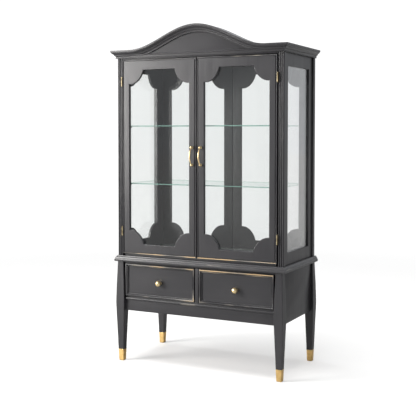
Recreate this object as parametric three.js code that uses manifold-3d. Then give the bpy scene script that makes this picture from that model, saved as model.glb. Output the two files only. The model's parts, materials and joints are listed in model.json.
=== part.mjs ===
// A two-door curio cabinet: glazed upper case with an arched pediment, on a two-drawer base with brass-shod legs.
// Millimetres, +Z up, the front faces -Y. The origin is on the floor under the middle of the footprint.
import * as THREE from "three";
import { mergeVertices } from "three/addons/utils/BufferGeometryUtils.js";
import Module from "manifold-3d";

const wasm = await Module();
wasm.setup();

// ---- Driving dimensions. While it is built, y = 0 is the front face of the doors. ----
const gap = 0.3; // air left between pieces that touch

// Legs: square, swelling from the waist to the apron and tapering to the ferrule.
const legX = 490; // leg centre from the middle of the cabinet
const legFrontY = 14;
const legRearY = 485;
const legHalfWidths = [
  // height above the floor, half width
  [66.3, 17.3],
  [118, 18.9],
  [170, 20.9],
  [228, 23.0],
  [285, 25.2],
  [342, 26.5],
  [400, 25.2],
  [450, 23.7],
  [512, 21.0],
  [577.7, 18.5],
];
const ferruleHeight = 66;
const ferruleTopHalf = 17.3;
const ferruleFootHalf = 15;
const ferruleWall = 1.6;

// Base case between the legs.
const apronBottomZ = 296;
const apronTopZ = 378;
const apronFaceY = 8;
const boardThickness = 18;
const baseTopZ = 577.7;
const baseSideFaceX = 500;
const baseBackFaceY = 492;
const beadBottomZ = 358;
const beadHeight = 13;
const beadProjection = 8;
const dustPanelTopZ = 383;
const dustPanelThickness = 12;
const topRailBottomZ = 568;

// Drawers.
const drawerInnerX = 15;
const drawerOuterX = 459;
const drawerBottomZ = 381;
const drawerTopZ = 566;
const drawerFaceY = -2;
const drawerFrontThickness = 22;
const drawerBeadWidth = 10;
const drawerBorder = 15;
const drawerPanelRecess = 11;
const trayWall = 10;
const trayFloor = 7;
const trayDepth = 420;
const trayBottomZ = 383.6;
const trayTopZ = 545;
const dividerHalf = 10;
const dividerPanelHalf = 6;

// Moulded waist board between base and upper case.
const waistBottomZ = 578;
const waistTopZ = 611;
const waistNoseZ = 595;
const waistProjection = 17;
const waistRearY = 500;
const waistDeckThickness = 12;

// Upper case.
const caseBottomZ = waistTopZ + gap;
const caseTopZ = 1785;
const postOuterX = 512;
const postInnerX = 480;
const postFrontY = 6;
const postDepth = 30;
const caseRearY = 488;
const reedsPerPost = 3;
const reedDepth = 5;
const doorStopX = 468; // inner edge of the stop lip behind each door's hinge stile
const doorStopFrontY = 25;
const sideFaceX = 504;
const sideInnerX = 478;
const sideWindow = { from: 84, to: 406, bottom: 677, top: 1673 };
const sideRevealX = 491; // the glass lies against this face
const sideLip = 6; // how far the shaped inner layer laps the glass
const floorTopZ = 623;
const floorGlassThickness = 4;
const roofBottomZ = 1735;
const roofTopZ = 1751;
const backFrontY = 470;
const backLayer = 6;
const backWindow = { from: 57, to: 420, bottom: 682, top: 1660 };
const glassThickness = 4;
const glassLap = 8; // rebate round a shaped window

// Shaped window corners: a short ledge, then an S-curve up to the rail.
const scallopWidth = 91;
const scallopHeight = 80;
const scallopLedge = 8;
const scallopSegments = 9;

// Glass shelves and the pegs they lie on.
const shelfThickness = 5;
const shelfTops = [1359, 1029];
const shelfHalfWidth = 474;
const shelfFrontY = 38;
const shelfRearY = 462;
const pegRadius = 3.5;
const pegLength = 12;
const pegYs = [84, 410];

// Doors.
const doorInnerX = 2.5;
const doorOuterX = 475;
const doorBottomZ = 626;
const doorTopZ = 1730;
const doorThickness = 22;
const doorLayer = 14; // thickness of the shaped front layer
const doorWindow = { from: 46.5, to: 430.5, bottom: 682, top: 1673 };
const doorBeadWidth = 6;
const doorGrooveWidth = 4;
const doorGrooveDepth = 3;

// Butt hinges in the gap between door and post.
const hingeX = 478;
const hingeY = -3.2; // the barrels stand just proud of the door face
const leafFrontY = 1.1;
const hingeLength = 54;
const hingeCentres = [1609, 755];
const barrelRadius = 4;
const pinRadius = 1.7;
const knuckles = 5;
const leafThickness = 1.4;
const leafDepth = 20;

// Bow pulls and ball knobs.
const pullX = 27;
const pullZ = 1189;
const pullCentres = 96;
const pullReach = 31;
const pullBallRadius = 7.8;
const pullBarWidth = 8.4;
const pullBarThickness = 5.6;
const knobX = 237;
const knobZ = 468;
const knobRadius = 16.5;
const knobReach = 36;

// Crown moulding and pediment.
const crownTopZ = 1786;
const crownHeight = 44.5;
const crownProjection = 29.3;
const archHalfSpan = 418;
const archRise = 126;
const archSteps = 64;
const pedimentBottomZ = 1735;
const capThickness = 10;
const capRearY = 88;
const friezeBeadTopZ = 1762;
const friezeBeadProjection = 12;

// ---- Geometry helpers ----

// A three.js geometry as a manifold solid with its faces pointing out.
function solidOf(geometry) {
  const bare = geometry.index ? geometry.toNonIndexed() : geometry.clone();
  for (const name of Object.keys(bare.attributes)) {
    if (name !== "position") bare.deleteAttribute(name);
  }
  const merged = mergeVertices(bare, 1e-4);
  const corners = merged.index.array;
  const kept = [];
  for (let i = 0; i < corners.length; i += 3) {
    const [a, b, c] = [corners[i], corners[i + 1], corners[i + 2]];
    if (a !== b && b !== c && c !== a) kept.push(a, b, c);
  }
  const triVerts = new Uint32Array(kept);
  const vertProperties = merged.attributes.position.array;
  const build = () => new wasm.Manifold(new wasm.Mesh({ numProp: 3, vertProperties, triVerts }));
  const made = build();
  if (made.volume() > 0) return made;
  for (let i = 0; i < triVerts.length; i += 3) {
    [triVerts[i + 1], triVerts[i + 2]] = [triVerts[i + 2], triVerts[i + 1]];
  }
  return build();
}

function geometryOf(solid) {
  const mesh = solid.getMesh();
  const geometry = new THREE.BufferGeometry();
  const positions = new Float32Array(mesh.numVert * 3);
  for (let i = 0; i < mesh.numVert; i += 1) {
    for (let k = 0; k < 3; k += 1) positions[3 * i + k] = mesh.vertProperties[i * mesh.numProp + k];
  }
  geometry.setAttribute("position", new THREE.BufferAttribute(positions, 3));
  geometry.setIndex(new THREE.BufferAttribute(new Uint32Array(mesh.triVerts), 1));
  const flat = geometry.toNonIndexed();
  flat.computeVertexNormals();
  return flat;
}

function block(x0, x1, y0, y1, z0, z1) {
  const geometry = new THREE.BoxGeometry(x1 - x0, y1 - y0, z1 - z0);
  geometry.translate((x0 + x1) / 2, (y0 + y1) / 2, (z0 + z1) / 2);
  return solidOf(geometry);
}

// The same on both sides of the middle: side is -1 for the left and 1 for the right.
function sideBlock(side, x0, x1, y0, y1, z0, z1) {
  return side > 0 ? block(x0, x1, y0, y1, z0, z1) : block(-x1, -x0, y0, y1, z0, z1);
}

// A shape drawn in front view (x, z), given thickness from y0 back to y1.
function frontSlab(shape, y0, y1, curveSegments = scallopSegments) {
  const geometry = new THREE.ExtrudeGeometry(shape, { depth: y1 - y0, bevelEnabled: false, curveSegments });
  geometry.rotateX(Math.PI / 2);
  geometry.translate(0, y1, 0);
  return solidOf(geometry);
}

// A shape drawn in side view (y, z), given thickness from x0 to x1.
function sideSlab(shape, x0, x1, curveSegments = scallopSegments) {
  const geometry = new THREE.ExtrudeGeometry(shape, { depth: x1 - x0, bevelEnabled: false, curveSegments });
  const turn = new THREE.Matrix4().makeBasis(
    new THREE.Vector3(0, 1, 0),
    new THREE.Vector3(0, 0, 1),
    new THREE.Vector3(1, 0, 0),
  );
  geometry.applyMatrix4(turn);
  geometry.translate(x0, 0, 0);
  return solidOf(geometry);
}

// A shape drawn in plan (x, y), given height from z0 to z1.
function planSlab(shape, z0, z1) {
  const geometry = new THREE.ExtrudeGeometry(shape, { depth: z1 - z0, bevelEnabled: false });
  geometry.translate(0, 0, z0);
  return solidOf(geometry);
}

function rectangle(u0, u1, v0, v1) {
  const shape = new THREE.Shape();
  shape.moveTo(u0, v0);
  shape.lineTo(u1, v0);
  shape.lineTo(u1, v1);
  shape.lineTo(u0, v1);
  shape.closePath();
  return shape;
}

function polygon(points) {
  return new THREE.Shape(points.map(([u, v]) => new THREE.Vector2(u, v)));
}

// A window outline whose four corners are scalloped.
function shapedWindow(u0, u1, v0, v1) {
  const w = scallopWidth;
  const h = scallopHeight;
  const ledge = scallopLedge;
  const near = (w - ledge) * 0.5 + ledge;
  const far = w - (w - ledge) * 0.1;
  const shape = new THREE.Shape();
  shape.moveTo(u0, v0 + h);
  shape.lineTo(u0, v1 - h);
  shape.lineTo(u0 + ledge, v1 - h);
  shape.bezierCurveTo(u0 + near, v1 - h, u0 + far, v1 - h * 0.5, u0 + w, v1);
  shape.lineTo(u1 - w, v1);
  shape.bezierCurveTo(u1 - far, v1 - h * 0.5, u1 - near, v1 - h, u1 - ledge, v1 - h);
  shape.lineTo(u1, v1 - h);
  shape.lineTo(u1, v0 + h);
  shape.lineTo(u1 - ledge, v0 + h);
  shape.bezierCurveTo(u1 - near, v0 + h, u1 - far, v0 + h * 0.5, u1 - w, v0);
  shape.lineTo(u0 + w, v0);
  shape.bezierCurveTo(u0 + far, v0 + h * 0.5, u0 + near, v0 + h, u0 + ledge, v0 + h);
  shape.closePath();
  return shape;
}

// A cylinder along z.
function roundBar(x, y, z0, z1, radius, segments = 14) {
  const geometry = new THREE.CylinderGeometry(radius, radius, z1 - z0, segments);
  geometry.rotateX(Math.PI / 2);
  geometry.translate(x, y, (z0 + z1) / 2);
  return solidOf(geometry);
}

// A square-section post whose half width follows a profile of [half width, height].
function squareTurning(x, y, profile) {
  const points = profile.map(([half, z]) => new THREE.Vector2(half * Math.SQRT2, z));
  const geometry = new THREE.LatheGeometry(points, 4, Math.PI / 4);
  geometry.rotateX(Math.PI / 2);
  geometry.translate(x, y, 0);
  return solidOf(geometry);
}

function union(solids) {
  return solids.reduce((whole, next) => whole.add(next));
}

// ---- Materials ----
function paint() {
  return new THREE.MeshStandardMaterial({ color: 0x3a3a3d, roughness: 0.45, metalness: 0 });
}
function brass() {
  return new THREE.MeshStandardMaterial({ color: 0xc79a4e, roughness: 0.28, metalness: 1 });
}
function clearGlass() {
  return new THREE.MeshStandardMaterial({
    color: 0xe6f0ee,
    roughness: 0.03,
    metalness: 0,
    transparent: true,
    opacity: 0.2,
  });
}
function floorGlassFinish() {
  return new THREE.MeshStandardMaterial({ color: 0x1c1e20, roughness: 0.06, metalness: 0.2 });
}
function drawerWood() {
  return new THREE.MeshStandardMaterial({ color: 0x8f6a44, roughness: 0.6, metalness: 0 });
}

// ---- Assembly ----
const root = new THREE.Group();
const cabinet = new THREE.Group();
root.add(cabinet);

function place(name, solid, material, group = cabinet) {
  const mesh = new THREE.Mesh(geometryOf(solid), material);
  mesh.name = name;
  group.add(mesh);
}

const sides = [
  { side: -1, name: "left" },
  { side: 1, name: "right" },
];
const rows = [
  { y: legFrontY, name: "front" },
  { y: legRearY, name: "rear" },
];

// ---- Legs and ferrules ----
function legSolid(x, y, grow) {
  const tenon = ferruleTopHalf - ferruleWall - gap;
  const profile = [
    [0, 3.4],
    [tenon - 2.4 + grow, 3.4],
    [tenon + grow, ferruleHeight - gap],
    [tenon + grow, ferruleHeight + gap],
    ...legHalfWidths.map(([z, half]) => [half + grow, z]),
    [0, legHalfWidths[legHalfWidths.length - 1][0]],
  ];
  return squareTurning(x, y, profile);
}

function ferruleSolid(x, y) {
  const profile = [
    [0, 0],
    [ferruleFootHalf - 5, 0],
    [ferruleFootHalf - 1.6, 1.8],
    [ferruleFootHalf, 6],
    [ferruleTopHalf, ferruleHeight],
    [ferruleTopHalf - ferruleWall, ferruleHeight],
    [ferruleTopHalf - ferruleWall - 2.2, 3],
    [0, 3],
  ];
  return squareTurning(x, y, profile);
}

for (const { y, name: row } of rows) {
  for (const { side, name } of sides) {
    place(`leg_${row}_${name}`, legSolid(side * legX, y, 0), paint());
    place(`ferrule_${row}_${name}`, ferruleSolid(side * legX, y), brass());
  }
}

// The legs, a little oversize, cut whatever butts against them.
const legCutter = union(
  rows.flatMap(({ y }) => sides.map(({ side }) => legSolid(side * legX, y, gap))),
);

// ---- Base case ----
const railEnd = legX - 15;
const apron = block(-railEnd, railEnd, apronFaceY, apronFaceY + boardThickness, apronBottomZ, apronTopZ);
place("front_apron", apron.subtract(legCutter), paint());

const beadTopZ = beadBottomZ + beadHeight;
const beadShape = new THREE.Shape();
beadShape.moveTo(apronFaceY - gap, beadBottomZ);
beadShape.lineTo(apronFaceY - gap, beadTopZ);
beadShape.lineTo(apronFaceY - beadProjection * 0.55, beadTopZ);
beadShape.quadraticCurveTo(
  apronFaceY - beadProjection,
  beadTopZ,
  apronFaceY - beadProjection,
  (beadBottomZ + beadTopZ) / 2,
);
beadShape.quadraticCurveTo(
  apronFaceY - beadProjection,
  beadBottomZ,
  apronFaceY - beadProjection * 0.55,
  beadBottomZ,
);
beadShape.closePath();
place("apron_bead", sideSlab(beadShape, -railEnd, railEnd, 4).subtract(legCutter), paint());

const topRail = block(
  -railEnd,
  railEnd,
  apronFaceY,
  apronFaceY + boardThickness,
  topRailBottomZ,
  baseTopZ,
);
place("top_rail", topRail.subtract(legCutter), paint());

for (const { side, name } of sides) {
  const panel = sideBlock(side, baseSideFaceX - 16, baseSideFaceX, 30, 470, apronBottomZ, baseTopZ);
  place(`base_side_${name}`, panel.subtract(legCutter), paint());
}

const baseBack = block(-railEnd, railEnd, baseBackFaceY - 14, baseBackFaceY, apronBottomZ, baseTopZ);
place("base_back", baseBack.subtract(legCutter), paint());

const innerX = baseSideFaceX - 16 - gap;
const innerFrontY = apronFaceY + boardThickness + gap;
const innerRearY = baseBackFaceY - 14 - gap;
const dustPanel = block(
  -innerX,
  innerX,
  innerFrontY,
  innerRearY,
  dustPanelTopZ - dustPanelThickness,
  dustPanelTopZ,
);
place("dust_panel", dustPanel.subtract(legCutter), drawerWood());

const dividerTopZ = topRailBottomZ - gap;
const dividerStile = block(-dividerHalf, dividerHalf, 2, 20, apronTopZ + gap, dividerTopZ);
const dividerPanel = block(
  -dividerPanelHalf,
  dividerPanelHalf,
  19,
  innerRearY,
  dustPanelTopZ + gap,
  dividerTopZ,
);
place("drawer_divider", dividerStile.add(dividerPanel), paint());

// ---- Waist moulding: a deck with a stepped ogee on its front and two ends ----
function waistProfile(u0, u1, mouldedStart) {
  const rise = waistTopZ - waistNoseZ;
  const shape = new THREE.Shape();
  shape.moveTo(u0, waistBottomZ);
  shape.lineTo(u1, waistBottomZ);
  shape.lineTo(u1, waistNoseZ);
  shape.lineTo(u1 - 3, waistNoseZ);
  shape.quadraticCurveTo(u1 - 4, waistNoseZ + rise * 0.7, u1 - 12, waistNoseZ + rise * 0.8);
  shape.lineTo(u1 - 12, waistTopZ);
  if (mouldedStart) {
    shape.lineTo(u0 + 12, waistTopZ);
    shape.lineTo(u0 + 12, waistNoseZ + rise * 0.8);
    shape.quadraticCurveTo(u0 + 4, waistNoseZ + rise * 0.7, u0 + 3, waistNoseZ);
    shape.lineTo(u0, waistNoseZ);
  } else {
    shape.lineTo(u0, waistTopZ);
  }
  shape.closePath();
  return shape;
}

const waistHalf = postOuterX + waistProjection;
const waistFrontY = postFrontY - waistProjection;
const acrossProfile = frontSlab(waistProfile(-waistHalf, waistHalf, true), waistFrontY, waistRearY, 6);
const alongProfile = sideSlab(waistProfile(-waistRearY, -waistFrontY, false), -waistHalf, waistHalf, 6);
const turnedProfile = alongProfile.mirror([0, 1, 0]);
const waistHollow = block(-470, 470, 42, 468, waistBottomZ - 1, waistTopZ - waistDeckThickness);
place("waist_moulding", acrossProfile.intersect(turnedProfile).subtract(waistHollow), paint());

// ---- Upper case: posts ----
function reededPost(side) {
  const width = postOuterX - postInnerX;
  const reed = width / reedsPerPost;
  const shape = new THREE.Shape();
  shape.moveTo(postInnerX, postFrontY + reedDepth);
  for (let i = 0; i < reedsPerPost; i += 1) {
    const start = postInnerX + i * reed;
    shape.quadraticCurveTo(start + reed * 0.08, postFrontY, start + reed / 2, postFrontY);
    shape.quadraticCurveTo(start + reed * 0.92, postFrontY, start + reed, postFrontY + reedDepth);
  }
  shape.lineTo(postOuterX, postFrontY + postDepth);
  shape.lineTo(doorStopX, postFrontY + postDepth);
  shape.lineTo(doorStopX, doorStopFrontY);
  shape.lineTo(postInnerX, doorStopFrontY);
  shape.closePath();
  const geometry = new THREE.ExtrudeGeometry(shape, {
    depth: caseTopZ - caseBottomZ,
    bevelEnabled: false,
    curveSegments: 4,
  });
  geometry.translate(0, 0, caseBottomZ);
  if (side < 0) geometry.scale(-1, 1, 1);
  return solidOf(geometry);
}

for (const { side, name } of sides) {
  place(`post_front_${name}`, reededPost(side), paint());
  const rear = sideBlock(
    side,
    postInnerX,
    postOuterX,
    caseRearY - postDepth,
    caseRearY,
    caseBottomZ,
    caseTopZ,
  );
  place(`post_rear_${name}`, rear, paint());
}

// ---- Upper case: floor, roof ----
const caseFrontY = postFrontY + postDepth + gap; // behind the front posts
const sideEndY = caseRearY - postDepth - gap; // in front of the rear posts
const deepX = sideInnerX - gap;
const shallowX = doorStopX - gap;
const backGapY = backFrontY - gap;

const floorRear = block(-deepX, deepX, caseFrontY, backGapY, caseBottomZ, floorTopZ);
const floorFront = block(-shallowX, shallowX, 12, caseFrontY + 1, caseBottomZ, floorTopZ);
place("cabinet_floor", floorRear.add(floorFront), paint());

const floorGlassZ = floorTopZ + gap;
const floorGlass = block(
  -deepX,
  deepX,
  caseFrontY,
  backGapY,
  floorGlassZ,
  floorGlassZ + floorGlassThickness,
);
place("floor_glass", floorGlass, floorGlassFinish());

const roofFrontY = postFrontY + boardThickness + gap;
const roofRear = block(-deepX, deepX, caseFrontY, backGapY, roofBottomZ, roofTopZ);
const roofFront = block(-shallowX, shallowX, roofFrontY, caseFrontY + 1, roofBottomZ - 13, roofTopZ);
place("cabinet_top", roofRear.add(roofFront), paint());

// ---- Glazed sides: a plain reveal outside, the glass, then a shaped layer inside ----
function shelfPegs(side) {
  return shelfTops.flatMap((top) =>
    pegYs.map((y) => {
      const geometry = new THREE.CylinderGeometry(pegRadius, pegRadius, pegLength + 1, 12);
      geometry.rotateZ(Math.PI / 2);
      const x = side * (sideInnerX - (pegLength - 1) / 2);
      geometry.translate(x, y, top - shelfThickness - gap - pegRadius);
      return solidOf(geometry);
    }),
  );
}

for (const { side, name } of sides) {
  const { from, to, bottom, top } = sideWindow;
  const board = sideBlock(side, sideInnerX, sideFaceX, caseFrontY, sideEndY, caseBottomZ, caseTopZ);
  const backing = sideBlock(
    side,
    sideFaceX - 1,
    postOuterX,
    caseFrontY,
    sideEndY,
    crownTopZ - crownHeight,
    caseTopZ,
  );
  const reveal = sideBlock(side, sideRevealX, sideFaceX + 1, from, to, bottom, top);
  const opening = shapedWindow(from + sideLip, to - sideLip, bottom + sideLip, top - sideLip);
  const x0 = side > 0 ? sideInnerX - 1 : -sideRevealX - 1;
  const shaped = sideSlab(opening, x0, x0 + sideRevealX - sideInnerX + 2);
  const frame = board.add(backing).subtract(reveal).subtract(shaped);
  place(`side_frame_${name}`, union([frame, ...shelfPegs(side)]), paint());
  const glass = sideBlock(
    side,
    sideRevealX + gap,
    sideRevealX + gap + glassThickness,
    from + gap,
    to - gap,
    bottom + gap,
    top - gap,
  );
  place(`side_glass_${name}`, glass, clearGlass());
}

// ---- Glazed back: two frames that meet in the middle ----
for (const { side, name } of sides) {
  const { from, to, bottom, top } = backWindow;
  const board = sideBlock(side, gap, postInnerX - gap, backFrontY, caseRearY, caseBottomZ, roofTopZ);
  const rebateFrontY = backFrontY + backLayer;
  const rebate = sideBlock(
    side,
    from - glassLap,
    to + glassLap,
    rebateFrontY,
    caseRearY + 1,
    bottom - glassLap,
    top + glassLap,
  );
  const [u0, u1] = side > 0 ? [from, to] : [-to, -from];
  const opening = frontSlab(shapedWindow(u0, u1, bottom, top), backFrontY - 1, rebateFrontY + 1);
  place(`back_frame_${name}`, board.subtract(rebate).subtract(opening), paint());
  const lap = glassLap - gap;
  const glass = sideBlock(
    side,
    from - lap,
    to + lap,
    rebateFrontY + gap,
    rebateFrontY + gap + glassThickness,
    bottom - lap,
    top + lap,
  );
  place(`back_glass_${name}`, glass, clearGlass());
}

// ---- Shelves ----
["shelf_upper", "shelf_lower"].forEach((name, i) => {
  const top = shelfTops[i];
  const shelf = block(
    -shelfHalfWidth,
    shelfHalfWidth,
    shelfFrontY,
    shelfRearY,
    top - shelfThickness,
    top,
  );
  place(name, shelf, clearGlass());
});

// ---- Crown moulding ----
// The arch is a raised cosine that dies into a level run at each end; the section stays upright along it.
function archZ(x) {
  const t = Math.min(Math.abs(x) / archHalfSpan, 1);
  return crownTopZ + archRise * 0.5 * (1 + Math.cos(Math.PI * t));
}

// Crown section as [projection, depth below the top edge]: fillet, ogee, step, cove, bottom bead.
function crownSection(grow) {
  const p = crownProjection;
  return [
    [-grow, -grow],
    [p + grow, -grow],
    [p + grow, 11.5 + grow],
    [p - 3 + grow, 12.5 + grow],
    [p - 4.5 + grow, 16.5],
    [p - 9 + grow, 20.5],
    [p - 14 + grow, 23.5],
    [p - 16.5 + grow, 27],
    [p - 16.5 + grow, 29 + grow],
    [p - 20 + grow, 31.5 + grow],
    [p - 23 + grow, 36 + grow],
    [p - 23.6 + grow, 39.5 - grow],
    [p - 22 + grow, 41 - grow],
    [p - 22.6 + grow, crownHeight + grow],
    [-grow, crownHeight + grow],
  ];
}

const crownBackY = postFrontY - gap;
const crownBackX = postOuterX + gap;

function crownRun(grow) {
  const halfLength = postOuterX + 60;
  const shape = polygon(crownSection(grow).map(([out, down]) => [out, -down]));
  const geometry = new THREE.ExtrudeGeometry(shape, {
    steps: archSteps,
    depth: 2 * halfLength,
    bevelEnabled: false,
  });
  const spots = geometry.getAttribute("position");
  for (let i = 0; i < spots.count; i += 1) {
    const x = spots.getZ(i) - halfLength;
    spots.setXYZ(i, x, crownBackY - spots.getX(i), archZ(x) + spots.getY(i));
  }
  return solidOf(geometry);
}

// Plan outline between the two 45 degree mitres, held back by a hair from each joint.
const mitreReach = 60;
const mitreGap = gap * 0.7;
const frontZone = planSlab(
  polygon([
    [crownBackX - mitreGap - 10, crownBackY + 10],
    [crownBackX - mitreGap + mitreReach, crownBackY - mitreReach],
    [-(crownBackX - mitreGap + mitreReach), crownBackY - mitreReach],
    [-(crownBackX - mitreGap - 10), crownBackY + 10],
  ]),
  crownTopZ - 80,
  crownTopZ + archRise + 40,
);
place("crown_front", crownRun(0).intersect(frontZone), paint());

for (const { side, name } of sides) {
  const section = crownSection(0).map(([out, down]) => [side * (crownBackX + out), crownTopZ - down]);
  const run = frontSlab(polygon(section), crownBackY - crownProjection - 5, caseRearY);
  const zone = planSlab(
    polygon(
      [
        [crownBackX - 10, crownBackY + 10],
        [crownBackX + mitreReach, crownBackY - mitreReach],
        [crownBackX + mitreReach + 10, caseRearY + 10],
        [crownBackX - 10, caseRearY + 10],
      ].map(([x, y]) => [side * x, y]),
    ),
    crownTopZ - 80,
    crownTopZ + 40,
  );
  place(`crown_${name}`, run.intersect(zone), paint());
}

// ---- Pediment: the flat board under the arch, its bent cap behind, and the bead along its foot ----
function archOutline(halfWidth, drop, steps) {
  const points = [];
  for (let i = 0; i <= steps; i += 1) {
    const x = halfWidth * (1 - (2 * i) / steps);
    points.push([x, archZ(x) - drop]);
  }
  return points;
}

const boardHalf = postInnerX - gap;
const boardOutline = polygon([
  [-boardHalf, pedimentBottomZ],
  [boardHalf, pedimentBottomZ],
  ...archOutline(boardHalf, 1, 48),
]);
place("pediment_board", frontSlab(boardOutline, postFrontY, postFrontY + boardThickness), paint());

const capHalf = archHalfSpan - 6;
const capOutline = polygon([
  ...archOutline(capHalf, 1, 44).reverse(),
  ...archOutline(capHalf, 1 + capThickness, 44),
]);
place("pediment_cap", frontSlab(capOutline, postFrontY + boardThickness + gap, capRearY), paint());

const friezeBottomZ = crownTopZ - crownHeight;
const friezeFrontY = crownBackY - friezeBeadProjection;
const friezeShape = new THREE.Shape();
friezeShape.moveTo(crownBackY, friezeBottomZ);
friezeShape.lineTo(crownBackY, friezeBeadTopZ);
friezeShape.lineTo(friezeFrontY + 4, friezeBeadTopZ);
friezeShape.quadraticCurveTo(friezeFrontY, friezeBeadTopZ, friezeFrontY, friezeBeadTopZ - 6);
friezeShape.lineTo(friezeFrontY, friezeBeadTopZ - 8);
friezeShape.quadraticCurveTo(friezeFrontY + 6, friezeBottomZ + 8, friezeFrontY + 6, friezeBottomZ);
friezeShape.closePath();
const friezeBead = sideSlab(friezeShape, -archHalfSpan, archHalfSpan, 5).subtract(crownRun(0.4));
place("frieze_bead", friezeBead, paint());

// ---- Hinges ----
const knuckleLength = hingeLength / knuckles;

function postLeaf(side, centreZ) {
  const z0 = centreZ - hingeLength / 2;
  const plateX = postInnerX - gap - leafThickness;
  const pin = roundBar(side * hingeX, hingeY, z0 + 1, z0 + hingeLength - 1, pinRadius - gap / 2, 10);
  const solids = [pin];
  for (let i = 0; i < knuckles; i += 2) {
    const low = z0 + i * knuckleLength;
    solids.push(roundBar(side * hingeX, hingeY, low, low + knuckleLength, barrelRadius));
    solids.push(
      sideBlock(side, plateX, plateX + leafThickness, hingeY, leafFrontY + 1, low, low + knuckleLength),
    );
  }
  const plate = sideBlock(
    side,
    plateX,
    plateX + leafThickness,
    leafFrontY,
    leafFrontY + leafDepth,
    z0,
    z0 + hingeLength,
  );
  return union([...solids, plate]);
}

function doorLeaf(side, centreZ) {
  const z0 = centreZ - hingeLength / 2;
  const plateX = doorOuterX + gap;
  const plate = sideBlock(
    side,
    plateX,
    plateX + leafThickness,
    leafFrontY,
    leafFrontY + leafDepth,
    z0,
    z0 + hingeLength,
  );
  const barrels = [];
  for (let i = 1; i < knuckles; i += 2) {
    const low = z0 + i * knuckleLength + gap;
    const high = low + knuckleLength - 2 * gap;
    barrels.push(roundBar(side * hingeX, hingeY, low, high, barrelRadius));
    barrels.push(
      sideBlock(side, plateX, plateX + leafThickness, hingeY, leafFrontY + 1, low, high),
    );
  }
  const bore = roundBar(side * hingeX, hingeY, z0 - 1, z0 + hingeLength + 1, pinRadius + gap / 2, 10);
  return union([plate, ...barrels]).subtract(bore);
}

// ---- Doors ----
function doorFrame(side) {
  const { from, to, bottom, top } = doorWindow;
  const board = sideBlock(side, doorInnerX, doorOuterX, 0, doorThickness, doorBottomZ, doorTopZ);
  const [u0, u1] = side > 0 ? [from, to] : [-to, -from];
  const opening = frontSlab(shapedWindow(u0, u1, bottom, top), -1, doorLayer + 1);
  const rebate = sideBlock(
    side,
    from - glassLap,
    to + glassLap,
    doorLayer,
    doorThickness + 1,
    bottom - glassLap,
    top + glassLap,
  );
  const outer = doorBeadWidth;
  const inner = doorBeadWidth + doorGrooveWidth;
  const ringOut = sideBlock(
    side,
    doorInnerX + outer,
    doorOuterX - outer,
    -1,
    doorGrooveDepth,
    doorBottomZ + outer,
    doorTopZ - outer,
  );
  const ringIn = sideBlock(
    side,
    doorInnerX + inner,
    doorOuterX - inner,
    -2,
    doorGrooveDepth + 1,
    doorBottomZ + inner,
    doorTopZ - inner,
  );
  return board.subtract(opening).subtract(rebate).subtract(ringOut.subtract(ringIn));
}

function bowPull(side) {
  const half = pullCentres / 2;
  const curve = new THREE.CatmullRomCurve3([
    new THREE.Vector3(0, -9, -half),
    new THREE.Vector3(0, -15, -half + 10),
    new THREE.Vector3(0, -pullReach + 4, -half * 0.45),
    new THREE.Vector3(0, -pullReach, 0),
    new THREE.Vector3(0, -pullReach + 4, half * 0.45),
    new THREE.Vector3(0, -15, half - 10),
    new THREE.Vector3(0, -9, half),
  ]);
  const section = new THREE.Shape();
  section.absellipse(0, 0, pullBarWidth / 2, pullBarThickness / 2, 0, Math.PI * 2);
  const bar = new THREE.ExtrudeGeometry(section, {
    steps: 16,
    curveSegments: 5,
    bevelEnabled: false,
    extrudePath: curve,
  });
  const solids = [solidOf(bar)];
  for (const end of [-1, 1]) {
    const ball = new THREE.SphereGeometry(pullBallRadius, 14, 8);
    ball.translate(0, -pullBallRadius - 2, end * half);
    const foot = new THREE.CylinderGeometry(pullBallRadius * 0.8, pullBallRadius * 0.95, 4, 14);
    foot.translate(0, -2, end * half);
    solids.push(solidOf(ball), solidOf(foot));
  }
  return union(solids).translate([side * pullX, -gap, pullZ]);
}

for (const { side, name } of sides) {
  const door = new THREE.Group();
  cabinet.add(door);
  place(`door_frame_${name}`, doorFrame(side), paint(), door);
  const { from, to, bottom, top } = doorWindow;
  const lap = glassLap - gap;
  const glass = sideBlock(
    side,
    from - lap,
    to + lap,
    doorLayer + gap,
    doorLayer + gap + glassThickness,
    bottom - lap,
    top + lap,
  );
  place(`door_glass_${name}`, glass, clearGlass(), door);
  place(`door_pull_${name}`, bowPull(side), brass(), door);
  hingeCentres.forEach((centreZ, i) => {
    const level = i === 0 ? "upper" : "lower";
    place(`hinge_post_leaf_${name}_${level}`, postLeaf(side, centreZ), brass());
    place(`hinge_door_leaf_${name}_${level}`, doorLeaf(side, centreZ), brass(), door);
  });
}

// ---- Drawers ----
function drawerFront(side) {
  const board = sideBlock(
    side,
    drawerInnerX,
    drawerOuterX,
    drawerFaceY,
    drawerFaceY + drawerFrontThickness,
    drawerBottomZ,
    drawerTopZ,
  );
  const cut = (inset, depth) =>
    sideBlock(
      side,
      drawerInnerX + inset,
      drawerOuterX - inset,
      drawerFaceY - 1,
      drawerFaceY + depth,
      drawerBottomZ + inset,
      drawerTopZ - inset,
    );
  return board.subtract(cut(drawerBeadWidth, 5)).subtract(cut(drawerBorder, drawerPanelRecess));
}

function drawerTray(side) {
  const x0 = drawerInnerX + 9;
  const x1 = drawerOuterX - 9;
  const y0 = drawerFaceY + drawerFrontThickness + gap;
  const y1 = y0 + trayDepth;
  const outside = sideBlock(side, x0, x1, y0, y1, trayBottomZ, trayTopZ);
  const inside = sideBlock(
    side,
    x0 + trayWall,
    x1 - trayWall,
    y0 + trayWall,
    y1 - trayWall,
    trayBottomZ + trayFloor,
    trayTopZ + 1,
  );
  return outside.subtract(inside);
}

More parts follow.
